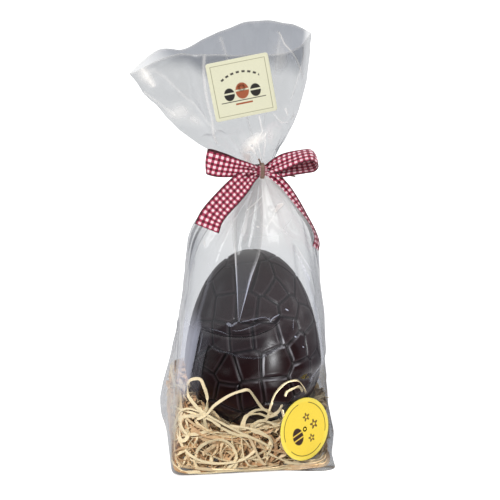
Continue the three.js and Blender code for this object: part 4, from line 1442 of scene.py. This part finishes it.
def dark_chocolate():
    """Tempered dark chocolate out of a polished mould: near black brown and satin gloss, with painted shade
    in the grooves, a painted highlight on their lips and painted glints on the lips at listed places."""
    made, tree = blank("moulded dark chocolate")
    place = node(tree, "TexCoord")
    cloud = node(tree, "TexNoise", {"Vector": place.outputs["Object"], "Scale": 55.0, "Detail": 4.0})
    groove, lip, painted_glint = (
        node(tree, "Attribute", attribute_name=title).outputs["Fac"] for title in ("groove", "lip", "painted_glint")
    )
    # Painted highlight: the lips of the grooves are made paler, as if they caught the light.
    painted_lip_highlight = node(tree, "Math", {0: lip, 1: 0.28}, operation="MULTIPLY")
    colour = node(tree, "MixRGB", {0: cloud, 1: linear("1b0507"), 2: linear("290a0e")})
    # Painted shade darkens the grooves; after it come the lips' painted highlight and the painted glints.
    for mask, tone in ((groove, "0c0506"), (painted_lip_highlight, "6a6064"), (painted_glint, "e4e2e8")):
        colour = over(tree, colour, mask, tone)
    dull = node(tree, "MapRange", {0: cloud, 1: 0.3, 2: 0.7, 3: 0.28, 4: 0.32})
    grain = node(tree, "TexNoise", {"Vector": place.outputs["Object"], "Scale": 420.0, "Detail": 3.0})
    bump = node(tree, "Bump", {"Strength": 0.02, "Distance": 0.0006, "Height": grain})
    shader = node(tree, "BsdfPrincipled", {
        "Base Color": colour, "Roughness": dull, "IOR": 1.46, "Specular IOR Level": 0.36, "Normal": bump,
    })
    node(tree, "OutputMaterial", {0: shader})
    return made


def wood_straw():
    """Shaved pale wood: matt strips from cream to light brown, with grain along them."""
    if "pale wood straw" in bpy.data.materials:
        return bpy.data.materials["pale wood straw"]
    made, tree = blank("pale wood straw")
    tone = node(tree, "Attribute", attribute_name="tone")
    place = node(tree, "UVMap")
    fibres = node(tree, "Mapping", {"Vector": place, "Scale": (3.0, 0.12, 1.0)})
    grain = node(tree, "TexNoise", {"Vector": fibres, "Scale": 2.4, "Detail": 4.0})
    patches = node(tree, "TexNoise", {"Vector": place, "Scale": 0.05, "Detail": 2.0})
    blend = node(tree, "Math", {0: tone.outputs["Fac"], 1: patches}, operation="ADD")
    share = node(tree, "MapRange", {0: blend, 1: 0.35, 2: 1.25})
    base = node(tree, "MixRGB", {0: share, 1: linear("d29a66"), 2: linear("ffeabe")})
    streak = node(tree, "MapRange", {0: grain, 1: 0.3, 2: 0.7, 3: 0.82, 4: 1.06})
    colour = node(tree, "MixRGB", {0: 1.0, 1: base, 2: streak}, blend_type="MULTIPLY")
    bump = node(tree, "Bump", {"Strength": 0.4, "Distance": 0.0002, "Height": grain})
    shader = node(tree, "BsdfPrincipled", {"Base Color": colour, "Roughness": 0.62, "Normal": bump})
    glow = node(tree, "BsdfTranslucent", {"Color": colour})
    thin = node(tree, "MixShader", {0: 0.08, 1: shader, 2: glow})
    node(tree, "OutputMaterial", {0: thin})
    return made


# The gingham: the width of a crimson and a white stripe together, of a thread, and of the selvage.
CHECK = {"period": RIBBON["width"] / 4.5, "thread": 0.55, "selvage": 0.7}


def wave(tree, source, period, shift=0.0):
    """A sine of a length in mm with the period given, from -1 to 1."""
    turns = node(tree, "Math", {0: source, 1: 2 * math.pi / period, 2: shift}, operation="MULTIPLY_ADD")
    return node(tree, "Math", {0: turns}, operation="SINE")


def gingham_ribbon():
    """Woven cotton gingham ribbon: crimson and white threads both ways, dark where crimson crosses crimson
    and rose where it crosses white. The threads are drawn about twice as coarse as real ones so that they
    show."""
    made, tree = blank("woven gingham ribbon")
    place = node(tree, "SeparateXYZ", {0: node(tree, "UVMap")})
    stripes = []
    for axis in ("X", "Y"):
        sine = wave(tree, place.outputs[axis], CHECK["period"])
        stripes.append(node(tree, "MapRange", {0: sine, 1: -0.09, 2: 0.09}))
    both = node(tree, "Math", {0: stripes[0], 1: stripes[1]}, operation="ADD")
    half = node(tree, "Math", {0: both, 1: 0.5}, operation="MULTIPLY")
    ramp = node(tree, "ValToRGB", {0: half})
    ramp.color_ramp.elements[0].color = linear("f8dce2")
    ramp.color_ramp.elements[1].color = linear("5a081e")
    ramp.color_ramp.elements.new(0.5).color = linear("b43c5a")
    middle = RIBBON["width"] / 2
    from_middle = node(tree, "Math", {0: place.outputs["X"], 1: middle}, operation="SUBTRACT")
    aside = node(tree, "Math", {0: from_middle}, operation="ABSOLUTE")
    inner = below(tree, aside, middle - CHECK["selvage"], 0.1)
    edged = node(tree, "MixRGB", {0: inner, 1: linear("4c0a1c"), 2: ramp})
    warp = wave(tree, place.outputs["X"], CHECK["thread"])
    weft = wave(tree, place.outputs["Y"], CHECK["thread"])
    weave = node(tree, "Math", {0: warp, 1: weft}, operation="MULTIPLY")
    shade = node(tree, "MapRange", {0: weave, 1: -1.0, 2: 1.0, 3: 0.86, 4: 1.05})
    colour = node(tree, "MixRGB", {0: 1.0, 1: edged, 2: shade}, blend_type="MULTIPLY")
    bump = node(tree, "Bump", {"Strength": 0.35, "Distance": 0.00015, "Height": weave})
    shader = node(tree, "BsdfPrincipled", {
        "Base Color": colour, "Roughness": 0.78, "Normal": bump, "Sheen Weight": 0.25, "Sheen Roughness": 0.4,
    })
    node(tree, "OutputMaterial", {0: shader})
    return made


def below(tree, value, limit, soft=0.12):
    """1 where a value is under a limit, 0 where it is over, with a soft edge."""
    return node(tree, "MapRange", {0: value, 1: limit - soft, 2: limit + soft, 3: 1.0, 4: 0.0})


def ellipse(tree, x, y, middle, half, soft=0.05):
    """1 inside an upright ellipse, on a plane measured in mm."""
    dx = node(tree, "Math", {0: x, 1: middle[0]}, operation="SUBTRACT")
    dy = node(tree, "Math", {0: y, 1: middle[1]}, operation="SUBTRACT")
    across = node(tree, "Math", {0: dx, 1: half[0]}, operation="DIVIDE")
    upright = node(tree, "Math", {0: dy, 1: half[1]}, operation="DIVIDE")
    flat = node(tree, "CombineXYZ", {0: across, 1: upright})
    return below(tree, node(tree, "VectorMath", {0: flat}, operation="LENGTH").outputs["Value"], 1.0, soft)


def product(tree, *values):
    """All the values times each other."""
    made = values[0]
    for value in values[1:]:
        made = node(tree, "Math", {0: made, 1: value}, operation="MULTIPLY")
    return made


def band(tree, value, middle, half, soft=0.12):
    """1 where a value is within half of the middle."""
    away = node(tree, "Math", {0: value, 1: middle}, operation="SUBTRACT")
    return below(tree, node(tree, "Math", {0: away}, operation="ABSOLUTE"), half, soft)


def over(tree, under, mask, hex_colour):
    """A colour laid over another one by a mask."""
    return node(tree, "MixRGB", {0: mask, 1: under, 2: linear(hex_colour)})


def paper_finish(tree, colour, roughness, fibre):
    """Mottled, slightly fibrous paper with this colour on its front and plain grey on its back."""
    place = node(tree, "TexCoord")
    grain = node(tree, "TexNoise", {"Vector": place.outputs["Object"], "Scale": fibre, "Detail": 4.0})
    tone = node(tree, "MapRange", {0: grain, 1: 0.3, 2: 0.7, 3: 0.96, 4: 1.03})
    back = node(tree, "Attribute", attribute_name="back")
    both = node(tree, "MixRGB", {0: back.outputs["Fac"], 1: colour, 2: linear("b8b2a6")})
    mottled = node(tree, "MixRGB", {0: 1.0, 1: both, 2: tone}, blend_type="MULTIPLY")
    bump = node(tree, "Bump", {"Strength": 0.15, "Distance": 0.0002, "Height": grain})
    shader = node(tree, "BsdfPrincipled", {"Base Color": mottled, "Roughness": roughness, "Normal": bump})
    node(tree, "OutputMaterial", {0: shader})


CARD_INK = {"paper": "dad8bc", "line": "8f8a6a", "dark": "2e2b28", "brown": "a4552f", "dots": "4a463e"}


def printed_card():
    """Uncoated cream card, printed: a fine frame line, three plain eggs in a row over a ground line, and a
    dotted arc above them."""
    made, tree = blank("printed cream card")
    place = node(tree, "SeparateXYZ", {0: node(tree, "UVMap")})
    x, y = place.outputs["X"], place.outputs["Y"]
    sides = [node(tree, "Math", {0: value}, operation="ABSOLUTE") for value in (x, y)]
    farther = node(tree, "Math", {0: sides[0], 1: sides[1]}, operation="MAXIMUM")
    frame_line = band(tree, farther, 17.6, 0.18)
    colour = node(tree, "MixRGB", {0: frame_line, 1: linear(CARD_INK["paper"]), 2: linear(CARD_INK["line"])})
    eggs = (
        ((-8.5, -3.2), (3.4, 4.4), "dark"), ((0, -2), (4.3, 5.6), "brown"), ((8.5, -3.2), (3.4, 4.4), "dark"),
    )
    for middle, half, ink in eggs:
        egg = ellipse(tree, x, y, middle, half)
        stripe = product(tree, egg, band(tree, y, middle[1] + 0.6, 0.55))
        colour = over(tree, colour, egg, CARD_INK[ink])
        colour = over(tree, colour, stripe, CARD_INK["paper"])
    ground = product(tree, band(tree, y, -8.4, 0.28), below(tree, sides[0], 14.5))
    colour = over(tree, colour, ground, CARD_INK["dark"])
    low_line = product(tree, band(tree, y, -10.6, 0.6), below(tree, sides[0], 5.5))
    colour = over(tree, colour, low_line, CARD_INK["brown"])
    flat = node(tree, "CombineXYZ", {0: x, 1: node(tree, "Math", {0: y, 1: 9.0}, operation="ADD")})
    away = node(tree, "VectorMath", {0: flat}, operation="LENGTH").outputs["Value"]
    turn = node(tree, "Math", {0: flat_angle(tree, x, y, -9.0), 1: 34.0}, operation="MULTIPLY")
    dots = below(tree, node(tree, "Math", {0: turn}, operation="SINE"), 0.2, 0.2)
    near_top = product(tree, below(tree, sides[0], 12.5), band(tree, y, 12, 8))
    arc = product(tree, band(tree, away, 20.0, 0.7, 0.15), dots, near_top)
    colour = over(tree, colour, arc, CARD_INK["dots"])
    paper_finish(tree, colour, 0.55, 1500.0)
    return made


def flat_angle(tree, x, y, centre_y):
    """The angle of a place on a plane about a point on its upright axis, in radians."""
    dy = node(tree, "Math", {0: y, 1: centre_y}, operation="SUBTRACT")
    return node(tree, "Math", {0: dy, 1: x}, operation="ARCTAN2")


def printed_sticker():
    """Coated yellow paper, printed: a paler rim, a fine broken ring, a brown egg with two light bands, and
    three flowers."""
    made, tree = blank("printed yellow paper")
    place = node(tree, "SeparateXYZ", {0: node(tree, "UVMap")})
    x, y = place.outputs["X"], place.outputs["Y"]
    flat = node(tree, "CombineXYZ", {0: x, 1: y})
    away = node(tree, "VectorMath", {0: flat}, operation="LENGTH").outputs["Value"]
    border = band(tree, away, 21.2, 1.6, 1.2)
    colour = node(tree, "MixRGB", {0: border, 1: linear("ffde40"), 2: linear("ffe95a")})
    turn = flat_angle(tree, x, y, 0.0)
    gaps = wave(tree, turn, 2 * math.pi / 3, 0.9)
    broken = node(tree, "MapRange", {0: gaps, 1: -0.8, 2: -0.7})
    colour = over(tree, colour, product(tree, band(tree, away, 18.6, 0.26), broken), "5a4a1a")
    egg = ellipse(tree, x, y, (-7.4, -2.0), (4.6, 6.2))
    bands = [product(tree, egg, band(tree, y, level, 0.45)) for level in (-3.9, -0.2)]
    colour = over(tree, colour, egg, "40281c")
    for stripe in bands:
        colour = over(tree, colour, stripe, "f4cf4a")
    for middle, size in (((4.2, 7.2), 3.2), ((8.6, -0.6), 3.6), ((3.2, -8.6), 3.0)):
        dx = node(tree, "Math", {0: x, 1: middle[0]}, operation="SUBTRACT")
        dy = node(tree, "Math", {0: y, 1: middle[1]}, operation="SUBTRACT")
        about = node(tree, "Math", {0: dy, 1: dx}, operation="ARCTAN2")
        petal = wave(tree, about, 2 * math.pi / 5, 0.4)
        rim = node(tree, "MapRange", {0: petal, 1: -1.0, 2: 1.0, 3: 0.45 * size, 4: size})
        reach = node(tree, "VectorMath", {0: node(tree, "CombineXYZ", {0: dx, 1: dy})}, operation="LENGTH")
        inside = node(tree, "Math", {0: reach.outputs["Value"], 1: rim}, operation="SUBTRACT")
        colour = over(tree, colour, below(tree, inside, 0.0), "7a5a22")
        colour = over(tree, colour, below(tree, reach.outputs["Value"], 0.28 * size), "ffde40")
    paper_finish(tree, colour, 0.4, 1200.0)
    return made


def twist_tie_finish():
    """Tan crepe paper over wire."""
    made, tree = blank("tan paper twist tie")
    place = node(tree, "TexCoord")
    grain = node(tree, "TexNoise", {"Vector": place.outputs["Object"], "Scale": 900.0, "Detail": 3.0})
    colour = node(tree, "MixRGB", {0: grain, 1: linear("6d5548"), 2: linear("9a8272")})
    bump = node(tree, "Bump", {"Strength": 0.5, "Distance": 0.0003, "Height": grain})
    shader = node(tree, "BsdfPrincipled", {
        "Base Color": colour, "Roughness": 0.45, "Metallic": 0.2, "Normal": bump,
    })
    node(tree, "OutputMaterial", {0: shader})
    return made


# ---------------------------------------------------------------------------------------------------------
# The pack
# ---------------------------------------------------------------------------------------------------------

make_camera()
film_bag()
film_folds()
film_dart()
chocolate_egg()
wood_straw_nest()
gingham_bow()
card_label()
round_sticker()
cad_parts["twist_tie"].data.materials.clear()
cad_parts["twist_tie"].data.materials.append(twist_tie_finish())
make_studio()
